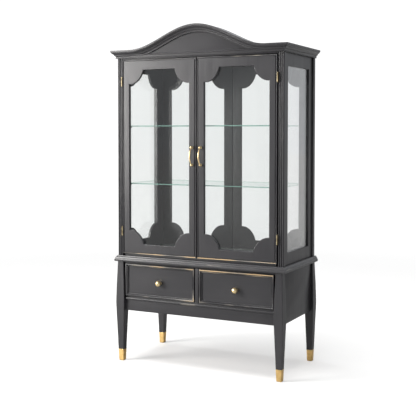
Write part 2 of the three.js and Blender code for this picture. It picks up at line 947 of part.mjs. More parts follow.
function ballKnob(side) {
  const r = knobRadius;
  const ballY = knobReach - r;
  const points = [
    [0, 0],
    [r * 0.62, 0],
    [r * 0.62, 2],
    [r * 0.46, 4],
    [r * 0.42, 7],
  ];
  const start = Math.asin((ballY - 9) / r);
  for (let i = 0; i <= 8; i += 1) {
    const turn = -start + ((Math.PI / 2 + start) * i) / 8;
    points.push([i === 8 ? 0 : r * Math.cos(turn), ballY + r * Math.sin(turn)]);
  }
  const geometry = new THREE.LatheGeometry(
    points.map(([u, v]) => new THREE.Vector2(u, v)),
    20,
  );
  geometry.rotateX(Math.PI);
  geometry.translate(side * knobX, drawerFaceY + drawerPanelRecess - gap, knobZ);
  return solidOf(geometry);
}

for (const { side, name } of sides) {
  const drawer = new THREE.Group();
  cabinet.add(drawer);
  place(`drawer_front_${name}`, drawerFront(side), paint(), drawer);
  place(`drawer_tray_${name}`, drawerTray(side), drawerWood(), drawer);
  place(`drawer_knob_${name}`, ballKnob(side), brass(), drawer);
}

// ---- Stand the cabinet over the middle of its own footprint ----
const bounds = new THREE.Box3().setFromObject(cabinet);
cabinet.position.y = -(bounds.min.y + bounds.max.y) / 2;

export default root;
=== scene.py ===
import json
import math

import bmesh
import bpy
from mathutils import Euler, Matrix, Vector
from mathutils.geometry import tessellate_polygon


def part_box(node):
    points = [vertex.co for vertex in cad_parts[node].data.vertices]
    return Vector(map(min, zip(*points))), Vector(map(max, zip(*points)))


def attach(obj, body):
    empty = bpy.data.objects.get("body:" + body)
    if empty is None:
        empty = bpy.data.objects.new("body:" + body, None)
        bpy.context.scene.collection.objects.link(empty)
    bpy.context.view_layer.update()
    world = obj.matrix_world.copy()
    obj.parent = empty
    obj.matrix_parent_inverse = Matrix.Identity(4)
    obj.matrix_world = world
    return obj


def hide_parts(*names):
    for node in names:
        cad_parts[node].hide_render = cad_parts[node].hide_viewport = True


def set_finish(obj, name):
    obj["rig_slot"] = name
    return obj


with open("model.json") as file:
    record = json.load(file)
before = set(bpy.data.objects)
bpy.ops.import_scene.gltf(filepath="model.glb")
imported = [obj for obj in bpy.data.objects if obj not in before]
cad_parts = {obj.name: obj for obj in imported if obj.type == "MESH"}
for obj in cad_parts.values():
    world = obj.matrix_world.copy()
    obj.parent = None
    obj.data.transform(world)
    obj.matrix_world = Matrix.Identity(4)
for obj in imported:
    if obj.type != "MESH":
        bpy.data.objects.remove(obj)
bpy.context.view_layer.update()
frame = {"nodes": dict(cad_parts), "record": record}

scene = bpy.context.scene
bodyOf = {}
for bodyName, members in frame["record"]["behaviour"]["bodies"].items():
    for member in members:
        bodyOf[member] = bodyName
hands = {"left": -1, "right": 1}

print("stage: camera, floor and light")

# Camera, in metres and degrees: how far it stands to the right of the cabinet's middle and in front of it.
view = {
    "right": 2.1754,
    "front": 4.4423,
    "eyeHeight": 1.318,
    "turn": 26.589,
    "dip": 2.326,
    "lens": 74.66,
    "drop": -0.0966,  # lens shift that keeps the uprights parallel
}

cameraData = bpy.data.cameras.new("studioCamera")
cameraData.lens = view["lens"]
cameraData.sensor_width = 36
cameraData.shift_y = view["drop"]
cameraData.clip_end = 200
camera = bpy.data.objects.new("studioCamera", cameraData)
camera.location = (view["right"], -view["front"], view["eyeHeight"])
camera.rotation_euler = Euler((math.radians(90 - view["dip"]), 0, math.radians(view["turn"])))
scene.collection.objects.link(camera)
scene.camera = camera
scene.view_settings.view_transform = "Standard"

studio = {
    "worldColour": (0.95, 0.97, 1.0, 1),
    "worldStrength": 0.37,
    "wallStrength": 0.88,  # the pale wall behind the object
    "wallDirection": (-0.45, 0.89, 0.0),  # behind the cabinet and to its left
    "backdropStrength": 1.11,
    "floorReach": 45.0,
    "floorColour": (0.40, 0.40, 0.40, 1),
    "floorGlow": 0.36,  # seen by the camera only
    "floorMottle": (0.42, 0.42, 0.42, 1),
    "floorMirrored": (0.25, 0.25, 0.25, 1),  # the floor as polished surfaces mirror it
    "floorFadeFrom": 1.6,  # metres from the cabinet where the floor starts to turn into the backdrop
    "floorFadeTo": 7.0,
}


def put(tree, kind, inputs=None, **settings):
    item = tree.nodes.new(kind)
    for key, value in settings.items():
        setattr(item, key, value)
    for key, value in (inputs or {}).items():
        if isinstance(value, bpy.types.NodeSocket):
            tree.links.new(value, item.inputs[key])
        else:
            item.inputs[key].default_value = value
    return item


def add(tree, kind, inputs=None, **settings):
    return put(tree, kind, inputs, **settings).outputs[0]


def calc(tree, operation, a, b=0.0, clamp=False):
    item = put(tree, "ShaderNodeMath", {0: a, 1: b}, operation=operation, use_clamp=clamp)
    return item.outputs[0]


def spread(tree, value, low, high, toLow=0.0, toHigh=1.0):
    inputs = {"Value": value, "From Min": low, "From Max": high, "To Min": toLow, "To Max": toHigh}
    return put(tree, "ShaderNodeMapRange", inputs).outputs[0]


def blendColour(tree, amount, a, b):
    return put(tree, "ShaderNodeMix", {0: amount, 6: a, 7: b}, data_type="RGBA").outputs[2]


def newMaterial(name):
    material = bpy.data.materials.new(name)
    material.use_nodes = True
    tree = material.node_tree
    tree.nodes.clear()
    place = put(tree, "ShaderNodeTexCoord").outputs["Object"]
    return material, tree, place


def noise(tree, place, scale, detail=2.0, stretch=None):
    if stretch:
        place = put(tree, "ShaderNodeMapping", {"Vector": place, "Scale": stretch}).outputs["Vector"]
    inputs = {"Vector": place, "Scale": scale, "Detail": detail}
    return put(tree, "ShaderNodeTexNoise", inputs).outputs[0]


def bumped(tree, height, strength, distance):
    return add(tree, "ShaderNodeBump", {"Height": height, "Strength": strength, "Distance": distance})


def weighed(tree, a, b, share=0.7):
    return calc(tree, "ADD", calc(tree, "MULTIPLY", a, share), calc(tree, "MULTIPLY", b, 1 - share))


def mixShader(tree, share, under, over):
    return add(tree, "ShaderNodeMixShader", {0: share, 1: under, 2: over})


def endMaterial(material, tree, shader):
    put(tree, "ShaderNodeOutputMaterial", {"Surface": shader})
    return material


def endPrincipled(material, tree, inputs):
    return endMaterial(material, tree, add(tree, "ShaderNodeBsdfPrincipled", inputs))


def wallGlow(tree, direction):
    # How bright the studio is in a direction: the walls are palest behind the cabinet and to its left.
    inputs = {0: direction, 1: studio["wallDirection"]}
    toWall = put(tree, "ShaderNodeVectorMath", inputs, operation="DOT_PRODUCT").outputs["Value"]
    return spread(tree, toWall, 0.25, 0.95, studio["worldStrength"], studio["wallStrength"])


def makeWorld():
    world = bpy.data.worlds.new("studioWorld")
    scene.world = world
    world.use_nodes = True
    tree = world.node_tree
    tree.nodes.clear()
    around = wallGlow(tree, put(tree, "ShaderNodeTexCoord").outputs["Generated"])
    ambient = add(tree, "ShaderNodeBackground", {"Color": studio["worldColour"], "Strength": around})
    plain = {"Color": (1, 1, 1, 1), "Strength": studio["backdropStrength"]}
    seen = put(tree, "ShaderNodeLightPath").outputs["Is Camera Ray"]
    backdrop = add(tree, "ShaderNodeBackground", plain)
    put(tree, "ShaderNodeOutputWorld", {"Surface": mixShader(tree, seen, ambient, backdrop)})


def makeFloor():
    # Lit floor near the cabinet that turns into the plain backdrop further off.
    material, tree, place = newMaterial("paleFloor")
    colour = blendColour(tree, noise(tree, place, 3.0), studio["floorColour"], studio["floorMottle"])
    rays = put(tree, "ShaderNodeLightPath").outputs
    seen = rays["Is Camera Ray"]
    inputs = {
        "Base Color": blendColour(tree, rays["Is Glossy Ray"], colour, studio["floorMirrored"]),
        "Roughness": 0.6,
        "Specular IOR Level": 0.2,
        "Emission Color": (1, 1, 1, 1),
        "Emission Strength": calc(tree, "MULTIPLY", seen, studio["floorGlow"]),
    }
    near = add(tree, "ShaderNodeBsdfPrincipled", inputs)
    outward = add(tree, "ShaderNodeVectorMath", {0: place}, operation="NORMALIZE")
    farGlow = spread(tree, seen, 0.0, 1.0, wallGlow(tree, outward), studio["backdropStrength"])
    far = add(tree, "ShaderNodeEmission", {"Color": (1, 1, 1, 1), "Strength": farGlow})
    away = put(tree, "ShaderNodeVectorMath", {0: place}, operation="LENGTH").outputs["Value"]
    limits = {"Value": away, "From Min": studio["floorFadeFrom"], "From Max": studio["floorFadeTo"]}
    fade = add(tree, "ShaderNodeMapRange", limits, interpolation_type="SMOOTHSTEP")
    endMaterial(material, tree, mixShader(tree, fade, near, far))
    reach = studio["floorReach"]
    mesh = bpy.data.meshes.new("studioFloor")
    corners = [(-reach, -reach, 0), (reach, -reach, 0), (reach, reach, 0), (-reach, reach, 0)]
    mesh.from_pydata(corners, [], [(0, 1, 2, 3)])
    mesh.materials.append(material)
    floor = bpy.data.objects.new("studioFloor", mesh)
    scene.collection.objects.link(floor)


lamps = [
    # name, where it stands, where it points, size across and up, watts, colour, mirrored in the object
    ("keySoftbox", (-3.12, -2.81, 2.15), (0, 0, 1.1), 1.6, 2.8, 310, (1.0, 0.98, 0.95), True),
    ("frontSoftbox", (-0.6, -6.2, 3.6), (0, 0, 0.8), 3.0, 1.6, 90, (0.96, 0.98, 1.0), False),
    ("overheadSoftbox", (-0.2, -0.5, 4.4), (0, 0, 0.8), 3.2, 2.4, 380, (1.0, 0.99, 0.97), False),
    ("backSoftbox", (1.2, 4.6, 2.6), (0, 0, 0.9), 2.6, 2.2, 25, (1.0, 0.98, 0.95), False),
]


def makeLamps():
    for name, spot, aim, across, up, watts, colour, mirrored in lamps:
        lampData = bpy.data.lights.new(name, "AREA")
        lampData.shape = "RECTANGLE"
        lampData.size = across
        lampData.size_y = up
        lampData.energy = watts
        lampData.color = colour
        lamp = bpy.data.objects.new(name, lampData)
        lamp.location = spot
        lamp.rotation_euler = (Vector(aim) - Vector(spot)).to_track_quat("-Z", "Y").to_euler()
        lamp.visible_glossy = mirrored
        scene.collection.objects.link(lamp)


makeWorld()
makeFloor()
makeLamps()

print("stage: finishes")

paintLook = {
    "deep": (0.0215, 0.0210, 0.0235, 1),
    "pale": (0.0300, 0.0290, 0.0315, 1),
    "thin": (0.17, 0.155, 0.13, 1),  # paint worn thin
    "bare": (0.40, 0.28, 0.15, 1),  # dull gold undercoat
    "rubScale": 5.5,  # stretches of a hand's length
    "patchScale": 2.6,
    "peelScale": 620.0,
    "smooth": 0.28,
    "rough": 0.40,
}


def makePaint(name, grain, edgeRub=0.0, polish=0.45):
    # Charcoal paint that is rubbed through where the rub attribute and a slow noise both run high.
    material, tree, place = newMaterial(name)
    patches = noise(tree, place, paintLook["patchScale"], 3.0)
    colour = blendColour(tree, spread(tree, patches, 0.35, 0.65), paintLook["deep"], paintLook["pale"])
    brushed = noise(tree, place, 1.0, 4.0, grain)
    peel = noise(tree, place, paintLook["peelScale"])
    rub = put(tree, "ShaderNodeAttribute", attribute_name="rub").outputs["Fac"]
    if edgeRub:
        rub = calc(tree, "ADD", rub, edgeRub)
    breaks = noise(tree, place, paintLook["rubScale"], 2.0)
    wear = calc(tree, "ADD", rub, spread(tree, breaks, 0.3, 0.7, -1.0, 0.0))
    thin = spread(tree, wear, 0.02, 0.35)
    colour = blendColour(tree, thin, colour, paintLook["thin"])
    colour = blendColour(tree, spread(tree, wear, 0.30, 0.62), colour, paintLook["bare"])
    roughness = spread(tree, brushed, 0.3, 0.7, paintLook["smooth"], paintLook["rough"])
    inputs = {
        "Base Color": colour,
        "Roughness": calc(tree, "ADD", roughness, calc(tree, "MULTIPLY", thin, 0.06)),
        "Normal": bumped(tree, weighed(tree, brushed, peel), 0.3, 0.0003),
        "Specular IOR Level": polish,
    }
    return endPrincipled(material, tree, inputs)


brassLooks = {
    # lighter and darker colour, smoothest and roughest
    "fitting": ((1.00, 0.80, 0.46, 1), (0.88, 0.66, 0.34, 1), 0.30, 0.44),
    "hinge": ((0.46, 0.38, 0.24, 1), (0.32, 0.26, 0.15, 1), 0.36, 0.52),
    "ferrule": ((0.95, 0.66, 0.28, 1), (0.80, 0.53, 0.20, 1), 0.34, 0.50),
}


def makeBrass(name, look, stretch):
    light, aged, smooth, rough = brassLooks[look]
    material, tree, place = newMaterial(name)
    clouds = noise(tree, place, 38.0, 3.0)
    lines = noise(tree, place, 1.0, 3.0, stretch)
    inputs = {
        "Base Color": blendColour(tree, spread(tree, clouds, 0.38, 0.68), light, aged),
        "Metallic": 1.0,
        "Roughness": spread(tree, lines, 0.3, 0.7, smooth, rough),
        "Normal": bumped(tree, lines, 0.25, 0.00012),
    }
    return endPrincipled(material, tree, inputs)


def makeGlass(name, tint, edgeOn=0.6, solid=0.0, body=(0.1, 0.3, 0.25, 1), straightOn=0.03):
    # Clear from straight on and mirror-like from the side; solid lets some of the glass's own colour show.
    material, tree, place = newMaterial(name)
    smears = noise(tree, place, 9.0, 3.0)
    tone = blendColour(tree, smears, tint, tuple(0.985 * c for c in tint[:3]) + (1,))
    facing = put(tree, "ShaderNodeLayerWeight", {"Blend": 0.5}).outputs["Facing"]
    mirror = calc(tree, "MULTIPLY", calc(tree, "POWER", facing, 5.0), edgeOn)
    mirror = calc(tree, "ADD", mirror, straightOn, True)
    under = add(tree, "ShaderNodeBsdfTransparent", {"Color": tone})
    if solid:
        inputs = {"Base Color": blendColour(tree, smears, body, tint), "Roughness": 0.12}
        under = mixShader(tree, solid, under, add(tree, "ShaderNodeBsdfPrincipled", inputs))
    inputs = {"Color": (1, 1, 1, 1), "Roughness": spread(tree, smears, 0.3, 0.7, 0.015, 0.05)}
    shine = add(tree, "ShaderNodeBsdfGlossy", inputs)
    return endMaterial(material, tree, mixShader(tree, mirror, under, shine))


def makeFloorGlass():
    material, tree, place = newMaterial("smokedFloorGlass")
    clouds = noise(tree, place, 6.0, 3.0)
    inputs = {
        "Base Color": blendColour(tree, clouds, (0.105, 0.113, 0.115, 1), (0.140, 0.149, 0.151, 1)),
        "Roughness": spread(tree, noise(tree, place, 24.0, 3.0), 0.3, 0.7, 0.03, 0.09),
        "Specular IOR Level": 0.6,
    }
    return endPrincipled(material, tree, inputs)


woodLook = {"light": (0.46, 0.27, 0.13, 1), "dark": (0.27, 0.14, 0.06, 1)}


def makeWood(name, grain):
    material, tree, place = newMaterial(name)
    stretched = add(tree, "ShaderNodeMapping", {"Vector": place, "Scale": grain})
    rings = {"Vector": stretched, "Scale": 6.0, "Distortion": 9.0, "Detail": 3.0, "Detail Scale": 1.4}
    waves = put(tree, "ShaderNodeTexWave", rings).outputs["Fac"]
    pores = noise(tree, stretched, 60.0, 2.0)
    figure = weighed(tree, waves, pores)
    inputs = {
        "Base Color": blendColour(tree, figure, woodLook["light"], woodLook["dark"]),
        "Roughness": spread(tree, pores, 0.3, 0.7, 0.42, 0.6),
        "Normal": bumped(tree, figure, 0.3, 0.0002),
    }
    return endPrincipled(material, tree, inputs)


def makeFlecked(name, colour, metal, rough):
    material, tree, place = newMaterial(name)
    flecks = noise(tree, place, 90.0, 3.0)
    inputs = {
        "Base Color": blendColour(tree, flecks, colour, tuple(0.7 * c for c in colour[:3]) + (1,)),
        "Metallic": metal,
        "Roughness": spread(tree, flecks, 0.3, 0.7, rough, rough + 0.12),
    }
    return endPrincipled(material, tree, inputs)


grains = {"upright": (150.0, 150.0, 5.0), "across": (5.0, 150.0, 150.0), "deep": (150.0, 5.0, 150.0)}
paints = {
    # for each way the brush ran, the flat paint and the paint of softened edges
    way: [makePaint(f"charcoal{way.title()}{edge}", grain, rub) for edge, rub in (("", 0.0), ("Edge", 0.24))]
    for way, grain in grains.items()
}
shadedTympanumPaint = makePaint("charcoalTympanumShaded", grains["across"], polish=0.2)  # painted shade: a duller copy of the paint that darkens the board inside the arch, where the crown's shade falls
sheenWaistPaint = makePaint("charcoalWaistSheen", grains["across"], polish=0.62)  # painted highlight: a glossier copy of the paint that brightens the highlights on the waist
polishedBrass = makeBrass("polishedBrass", "fitting", (300.0, 300.0, 300.0))
dullBrass = makeBrass("dullBrass", "hinge", (300.0, 300.0, 300.0))
brushedBrass = makeBrass("brushedBrass", "ferrule", (900.0, 900.0, 60.0))
doorGlass = makeGlass("clearDoorGlass", (0.985, 0.995, 0.99, 1), straightOn=0.08)
sideGlass = makeGlass("clearSideGlass", (0.995, 0.997, 0.995, 1), 2.4)
backGlass = makeGlass("greyBackGlass", (0.945, 0.95, 0.95, 1))
shelfFace = makeGlass("shelfGlassFace", (0.965, 0.985, 0.975, 1), 0.12)
shelfEdge = makeGlass("shelfGlassEdge", (0.30, 0.52, 0.45, 1), 0.4, 0.72, (0.05, 0.13, 0.11, 1))
shelfEnd = makeGlass("shelfGlassEnd", (0.80, 0.90, 0.86, 1), 0.3, 0.10, (0.10, 0.21, 0.18, 1))
floorGlass = makeFloorGlass()
trayWood = makeWood("trayWood", (1.0, 0.12, 1.0))
panelWood = makeWood("panelWood", (0.12, 1.0, 1.0))
darkSteel = makeFlecked("darkSteel", (0.09, 0.09, 0.095, 1), 1.0, 0.34)
zincSteel = makeFlecked("zincSteel", (0.55, 0.56, 0.58, 1), 1.0, 0.28)
catchPlastic = makeFlecked("catchPlastic", (0.02, 0.02, 0.022, 1), 0.0, 0.4)

print("stage: workshop helpers")


def ring(bm, points):
    return [bm.verts.new(point) for point in points]


def skin(bm, first, second):
    count = len(first)
    return [
        bm.faces.new((first[i], first[(i + 1) % count], second[(i + 1) % count], second[i]))
        for i in range(count)
    ]


def fillBetween(bm, outer, inner):
    verts = outer + inner
    for corners in tessellate_polygon([[v.co for v in outer], [v.co for v in inner]]):
        bm.faces.new([verts[i] for i in corners])


def loft(bm, rings, capped=True):
    for first, second in zip(rings, rings[1:]):
        skin(bm, first, second)
    if capped:
        bm.faces.new(rings[0])
        bm.faces.new(rings[-1])


def wornLoft(bm, rings, rubOf, capped=True):
    # A loft whose paint is rubbed by rubOf, which takes the strip and its side.
    worn = bm.faces.layers.float.new("rub")
    for strip, (first, second) in enumerate(zip(rings, rings[1:])):
        for side, face in enumerate(skin(bm, first, second)):
            face[worn] = rubOf(strip, side)
    if capped:
        bm.faces.new(rings[0])
        bm.faces.new(rings[-1])


def rectangle(u0, u1, v0, v1):
    return [(u0, v0), (u1, v0), (u1, v1), (u0, v1)]


def flatPlace(u, v, height):
    return (u, v, height)


def frontPlace(y0):
    return lambda u, v, depth: (u, y0 + depth, v)


def sidePlace(x0, side):
    return lambda u, v, depth: (side * (x0 - depth), u, v)


def layRing(bm, loop, depth, place):
    return ring(bm, [place(u, v, depth) for u, v in loop])


def edgeRings(bm, place, box, profile):
    # Rectangles stepping in from a box's edge: profile is [(inset, depth)].
    u0, u1, v0, v1 = box
    return [
        layRing(bm, rectangle(u0 + inset, u1 - inset, v0 + inset, v1 - inset), depth, place)
        for inset, depth in profile
    ]


def addBox(bm, low, high, side=1):
    # A block between two corners; side -1 mirrors it to the left of the cabinet's middle.
    x0, x1 = sorted((side * low[0], side * high[0]))
    y0, y1 = low[1], high[1]
    loft(bm, [ring(bm, [(x0, y0, z), (x1, y0, z), (x1, y1, z), (x0, y1, z)]) for z in (low[2], high[2])])


def arc(u, v, radius, start, end, steps):
    turns = [math.radians(start + (end - start) * i / steps) for i in range(steps + 1)]
    return [(u + radius * math.cos(a), v + radius * math.sin(a)) for a in turns]


def bezier(a, b, c, d, steps):
    points = []
    for i in range(steps + 1):
        t = i / steps
        s = 1 - t
        w = (s * s * s, 3 * s * s * t, 3 * s * t * t, t * t * t)
        points.append(tuple(w[0] * a[k] + w[1] * b[k] + w[2] * c[k] + w[3] * d[k] for k in (0, 1)))
    return points


def toPiece(
    bm, name, materials, node=None, body="cabinet", slot="charcoal_paint", sharp=38, ease=0.0, weighted=True
):
    # Turns a bmesh into a finished piece that rides on its body. With ease the edges are softened,
    # and a second material goes on the softened strip.
    bmesh.ops.recalc_face_normals(bm, faces=bm.faces)
    mesh = bpy.data.meshes.new(name)
    bm.to_mesh(mesh)
    bm.free()
    mesh.shade_smooth()
    for material in materials:
        mesh.materials.append(material)
    piece = bpy.data.objects.new(name, mesh)
    scene.collection.objects.link(piece)
    if ease:
        bevel = piece.modifiers.new("easedEdges", "BEVEL")
        bevel.width = ease
        bevel.segments = 3
        bevel.limit_method = "ANGLE"
        bevel.angle_limit = math.radians(35)
        bevel.harden_normals = True
        if len(materials) > 1:
            bevel.material = 1
    else:
        mesh.set_sharp_from_angle(angle=math.radians(sharp))
        if weighted:
            piece.modifiers.new("evenShading", "WEIGHTED_NORMAL").keep_sharp = True
    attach(piece, bodyOf.get(node, body))
    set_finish(piece, slot)
    if node:
        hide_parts(node)
    return piece


def copiedBoard(node):
    # A merged copy of a CAD board, with its flat faces made whole.
    bm = bmesh.new()
    bm.from_mesh(frame["nodes"][node].data)
    bmesh.ops.remove_doubles(bm, verts=bm.verts, dist=1e-5)
    bmesh.ops.dissolve_limit(
        bm,
        angle_limit=math.radians(0.6),
        verts=bm.verts,
        edges=bm.edges,
    )
    for layer in list(bm.loops.layers.uv.values()):
        bm.loops.layers.uv.remove(layer)
    for face in bm.faces:
        face.material_index = 0
    return bm


def newGrower(name, sockets):
    # An empty node tree with its inputs named; the finish comes last.
    tree = bpy.data.node_groups.new(name, "GeometryNodeTree")
    tree.interface.new_socket("Geometry", in_out="INPUT", socket_type="NodeSocketGeometry")
    ids = {}
    for label, kind in {**sockets, "Finish": "Material"}.items():
        made = tree.interface.new_socket(label, in_out="INPUT", socket_type=f"NodeSocket{kind}")
        ids[label] = made.identifier
    tree.interface.new_socket("Geometry", in_out="OUTPUT", socket_type="NodeSocketGeometry")
    return tree, ids, put(tree, "NodeGroupInput").outputs


def endGrower(tree, shape, given):
    whole = add(tree, "GeometryNodeRealizeInstances", {0: shape})
    painted = add(tree, "GeometryNodeSetMaterial", {"Geometry": whole, "Material": given["Finish"]})
    put(tree, "NodeGroupOutput", {0: painted})


def sweep(tree, curve, given):
    # The given section drawn along a curve, with its ends closed.
    info = put(tree, "GeometryNodeObjectInfo", {"Object": given["Section"]})
    profile = add(tree, "GeometryNodeMeshToCurve", {"Mesh": info.outputs["Geometry"]})
    return add(tree, "GeometryNodeCurveToMesh", {"Curve": curve, "Profile Curve": profile, "Fill Caps": True})


def onPoints(tree, points, shape, **turn):
    inputs = {"Points": points, "Instance": shape, **turn}
    return add(tree, "GeometryNodeInstanceOnPoints", inputs)


def pointRow(tree, count, axis, pitch):
    offset = add(tree, "ShaderNodeCombineXYZ", {axis: pitch})
    return add(tree, "GeometryNodeMeshLine", {"Count": count, "Offset": offset})


def grow(grower, values, points=()):
    # Runs a node tree on a few points and gives back a plain bmesh.
    tree, ids = grower
    mesh = bpy.data.meshes.new("carrier")
    mesh.from_pydata([tuple(p) for p in points], [], [])
    carrier = bpy.data.objects.new("carrier", mesh)
    scene.collection.objects.link(carrier)
    maker = carrier.modifiers.new("grow", "NODES")
    maker.node_group = tree
    for label, value in values.items():
        maker[ids[label]] = value
    graph = bpy.context.evaluated_depsgraph_get()
    grown = bpy.data.meshes.new_from_object(carrier.evaluated_get(graph), depsgraph=graph)
    carrier.modifiers.clear()
    bpy.data.objects.remove(carrier)
    bm = bmesh.new()
    bm.from_mesh(grown)
    bmesh.ops.remove_doubles(bm, verts=bm.verts, dist=1e-6)
    bpy.data.meshes.remove(grown)
    bpy.data.meshes.remove(mesh)
    return bm


def sectionObject(name, points):
    # A closed outline in the XY plane for a node tree to read.
    mesh = bpy.data.meshes.new(name)
    count = len(points)
    mesh.from_pydata([(u, v, 0) for u, v in points], [(i, (i + 1) % count) for i in range(count)], [])
    outline = bpy.data.objects.new(name, mesh)
    scene.collection.objects.link(outline)
    return outline


def dropHelpers(*helpers):
    for helper in helpers:
        bpy.data.objects.remove(helper)


def makeRunGrower():
    # A moulding run along X that may rise to a raised-cosine arch in its middle, its section kept upright.
    sockets = {
        "Half Length": "Float",
        "Arch Half Span": "Float",
        "Arch Rise": "Float",
        "Steps": "Int",
        "Section": "Object",
    }
    tree, ids, given = newGrower("mouldingRun", sockets)
    start, end = [
        add(tree, "ShaderNodeCombineXYZ", {"X": calc(tree, "MULTIPLY", given["Half Length"], way)})
        for way in (-1.0, 1.0)
    ]
    line = add(tree, "GeometryNodeCurvePrimitiveLine", {"Start": start, "End": end})
    stepped = add(tree, "GeometryNodeResampleCurve", {"Curve": line, "Count": given["Steps"]})
    swept = sweep(tree, add(tree, "GeometryNodeSetCurveNormal", {"Curve": stepped}, mode="Z_UP"), given)
    x = put(tree, "ShaderNodeSeparateXYZ", {0: add(tree, "GeometryNodeInputPosition")}).outputs["X"]
    share = calc(tree, "DIVIDE", calc(tree, "ABSOLUTE", x), given["Arch Half Span"])
    wave = calc(tree, "COSINE", calc(tree, "MULTIPLY", calc(tree, "MINIMUM", share, 1.0), math.pi))
    halfRise = calc(tree, "MULTIPLY", given["Arch Rise"], 0.5)
    liftZ = calc(tree, "MULTIPLY", calc(tree, "ADD", wave, 1.0), halfRise)
    lift = add(tree, "ShaderNodeCombineXYZ", {"Z": liftZ})
    endGrower(tree, add(tree, "GeometryNodeSetPosition", {"Geometry": swept, "Offset": lift}), given)
    return tree, ids


runGrower = makeRunGrower()


def runOf(name, section, halfLength, material, steps=2, span=1.0, rise=0.0):
    # section is [(projection, drop)]; the run lies along X, projecting to -Y.
    outline = sectionObject(name + "Section", section)
    values = {
        "Half Length": halfLength,
        "Arch Half Span": span,
        "Arch Rise": rise,
        "Steps": steps,
        "Section": outline,
        "Finish": material,
    }
    bm = grow(runGrower, values)
    dropHelpers(outline)
    return bm


def slicedAt(bm, point, outward):
    # Cuts the mesh by a plane, drops what lies outward of it and closes the cut.
    found = bmesh.ops.bisect_plane(
        bm,
        geom=bm.verts[:] + bm.edges[:] + bm.faces[:],
        plane_co=point,
        plane_no=outward,
        clear_outer=True,
    )
    edges = [e for e in found["geom_cut"] if isinstance(e, bmesh.types.BMEdge)]
    bmesh.ops.contextual_create(bm, geom=edges)


def moved(bm, offset=(0, 0, 0), turn=0.0):
    place = Matrix.Translation(offset) @ Matrix.Rotation(turn, 4, "Z")
    bmesh.ops.transform(bm, matrix=place, verts=bm.verts)


def joined(*parts):
    # Several meshes as one, each keeping its own closed skin, all in the first finish.
    whole = bmesh.new()
    for part in parts:
        mesh = bpy.data.meshes.new("part")
        part.to_mesh(mesh)
        part.free()
        whole.from_mesh(mesh)
        bpy.data.meshes.remove(mesh)
    for face in whole.faces:
        face.material_index = 0
    return whole


print("stage: legs and ferrules")

leg = {
    # height above the floor, half width
    "swell": [
        (0.0663, 0.0173), (0.118, 0.0189), (0.170, 0.0209), (0.228, 0.0230), (0.285, 0.0252),
        (0.342, 0.0265), (0.400, 0.0252), (0.450, 0.0237), (0.512, 0.0210), (0.5777, 0.0185),
    ],
    "tenon": [(0.0040, 0.0126), (0.0661, 0.0149)],  # the end that stands in the ferrule
    "tenonCorner": 0.001,
    "levels": 46,
    "cornerRadius": 0.0022,
}
ferrule = {
    "corner": 0.0030,
    "top": 0.0173,
    "foot": 0.0150,
    "height": 0.066,
    "footCurve": [(0.0052, 0.0), (0.0030, 0.0004), (0.0014, 0.0014), (0.0004, 0.0030), (0.0, 0.0056)],
    "taperSteps": 8,
    "lip": [(0.0002, 0.0004), (0.0008, 0.0), (0.0016, 0.0), (0.0018, 0.0006)],  # inset and drop at the top
    "bore": (0.0030, 0.0034),  # wall at the bottom of the socket, and its height
}


def smoothAlong(table, at):
    # Catmull-Rom through a table of (position, value).
    for i in range(len(table) - 1):
        if at <= table[i + 1][0] or i == len(table) - 2:
            break
    p1, p2 = table[i], table[i + 1]
    p0 = table[i - 1] if i else p1
    p3 = table[i + 2] if i + 2 < len(table) else p2
    t = (at - p1[0]) / (p2[0] - p1[0])
    m1 = (p2[1] - p0[1]) / max(p2[0] - p0[0], 1e-9) * (p2[0] - p1[0])
    m2 = (p3[1] - p1[1]) / max(p3[0] - p1[0], 1e-9) * (p2[0] - p1[0])
    a = 2 * t ** 3 - 3 * t ** 2 + 1
    b = t ** 3 - 2 * t ** 2 + t
    c = -2 * t ** 3 + 3 * t ** 2
    d = t ** 3 - t ** 2
    return a * p1[1] + b * m1 + c * p2[1] + d * m2


def roundedSquare(x, y, half, corner, z, steps=4):
    points = []
    for cx, cy, start in ((1, 1, 0), (-1, 1, 90), (-1, -1, 180), (1, -1, 270)):
        middle = (x + cx * (half - corner), y + cy * (half - corner))
        points += [(u, v, z) for u, v in arc(middle[0], middle[1], corner, start, start + 90, steps)]
    return points


def makeLeg(row, hand):
    low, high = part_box(f"leg_{row}_{hand}")
    x, y = (low.x + high.x) / 2, (low.y + high.y) / 2
    bm = bmesh.new()
    rings = [ring(bm, roundedSquare(x, y, half, leg["tenonCorner"], z)) for z, half in leg["tenon"]]
    bottom, top = leg["swell"][0][0], leg["swell"][-1][0]
    for i in range(leg["levels"] + 1):
        z = bottom + (top - bottom) * i / leg["levels"]
        rings.append(ring(bm, roundedSquare(x, y, smoothAlong(leg["swell"], z), leg["cornerRadius"], z)))
    loft(bm, rings)
    toPiece(bm, f"shaped_leg_{row}_{hand}", paints["upright"][:1], f"leg_{row}_{hand}")


def makeFerrule(row, hand):
    low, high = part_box(f"ferrule_{row}_{hand}")
    x, y = (low.x + high.x) / 2, (low.y + high.y) / 2
    foot, rim, height = ferrule["foot"], ferrule["top"], ferrule["height"]
    start, count = ferrule["footCurve"][-1][1], ferrule["taperSteps"]
    profile = [(foot - inset, z) for inset, z in ferrule["footCurve"]]
    profile += [
        (foot + (rim - foot) * t / count, start + (height - start - 0.0010) * t / count)
        for t in range(1, count + 1)
    ]
    profile += [(rim - inset, height - drop) for inset, drop in ferrule["lip"]]
    profile.append((rim - ferrule["bore"][0], ferrule["bore"][1]))
    bm = bmesh.new()
    loft(bm, [
        ring(bm, roundedSquare(x, y, half, min(ferrule["corner"], half * 0.5), z, 5))
        for half, z in profile
    ])
    toPiece(bm, f"brass_ferrule_{row}_{hand}", [brushedBrass], f"ferrule_{row}_{hand}", slot="brass")


for row in ("front", "rear"):
    for hand in hands:
        makeLeg(row, hand)
        makeFerrule(row, hand)

print("stage: base case")

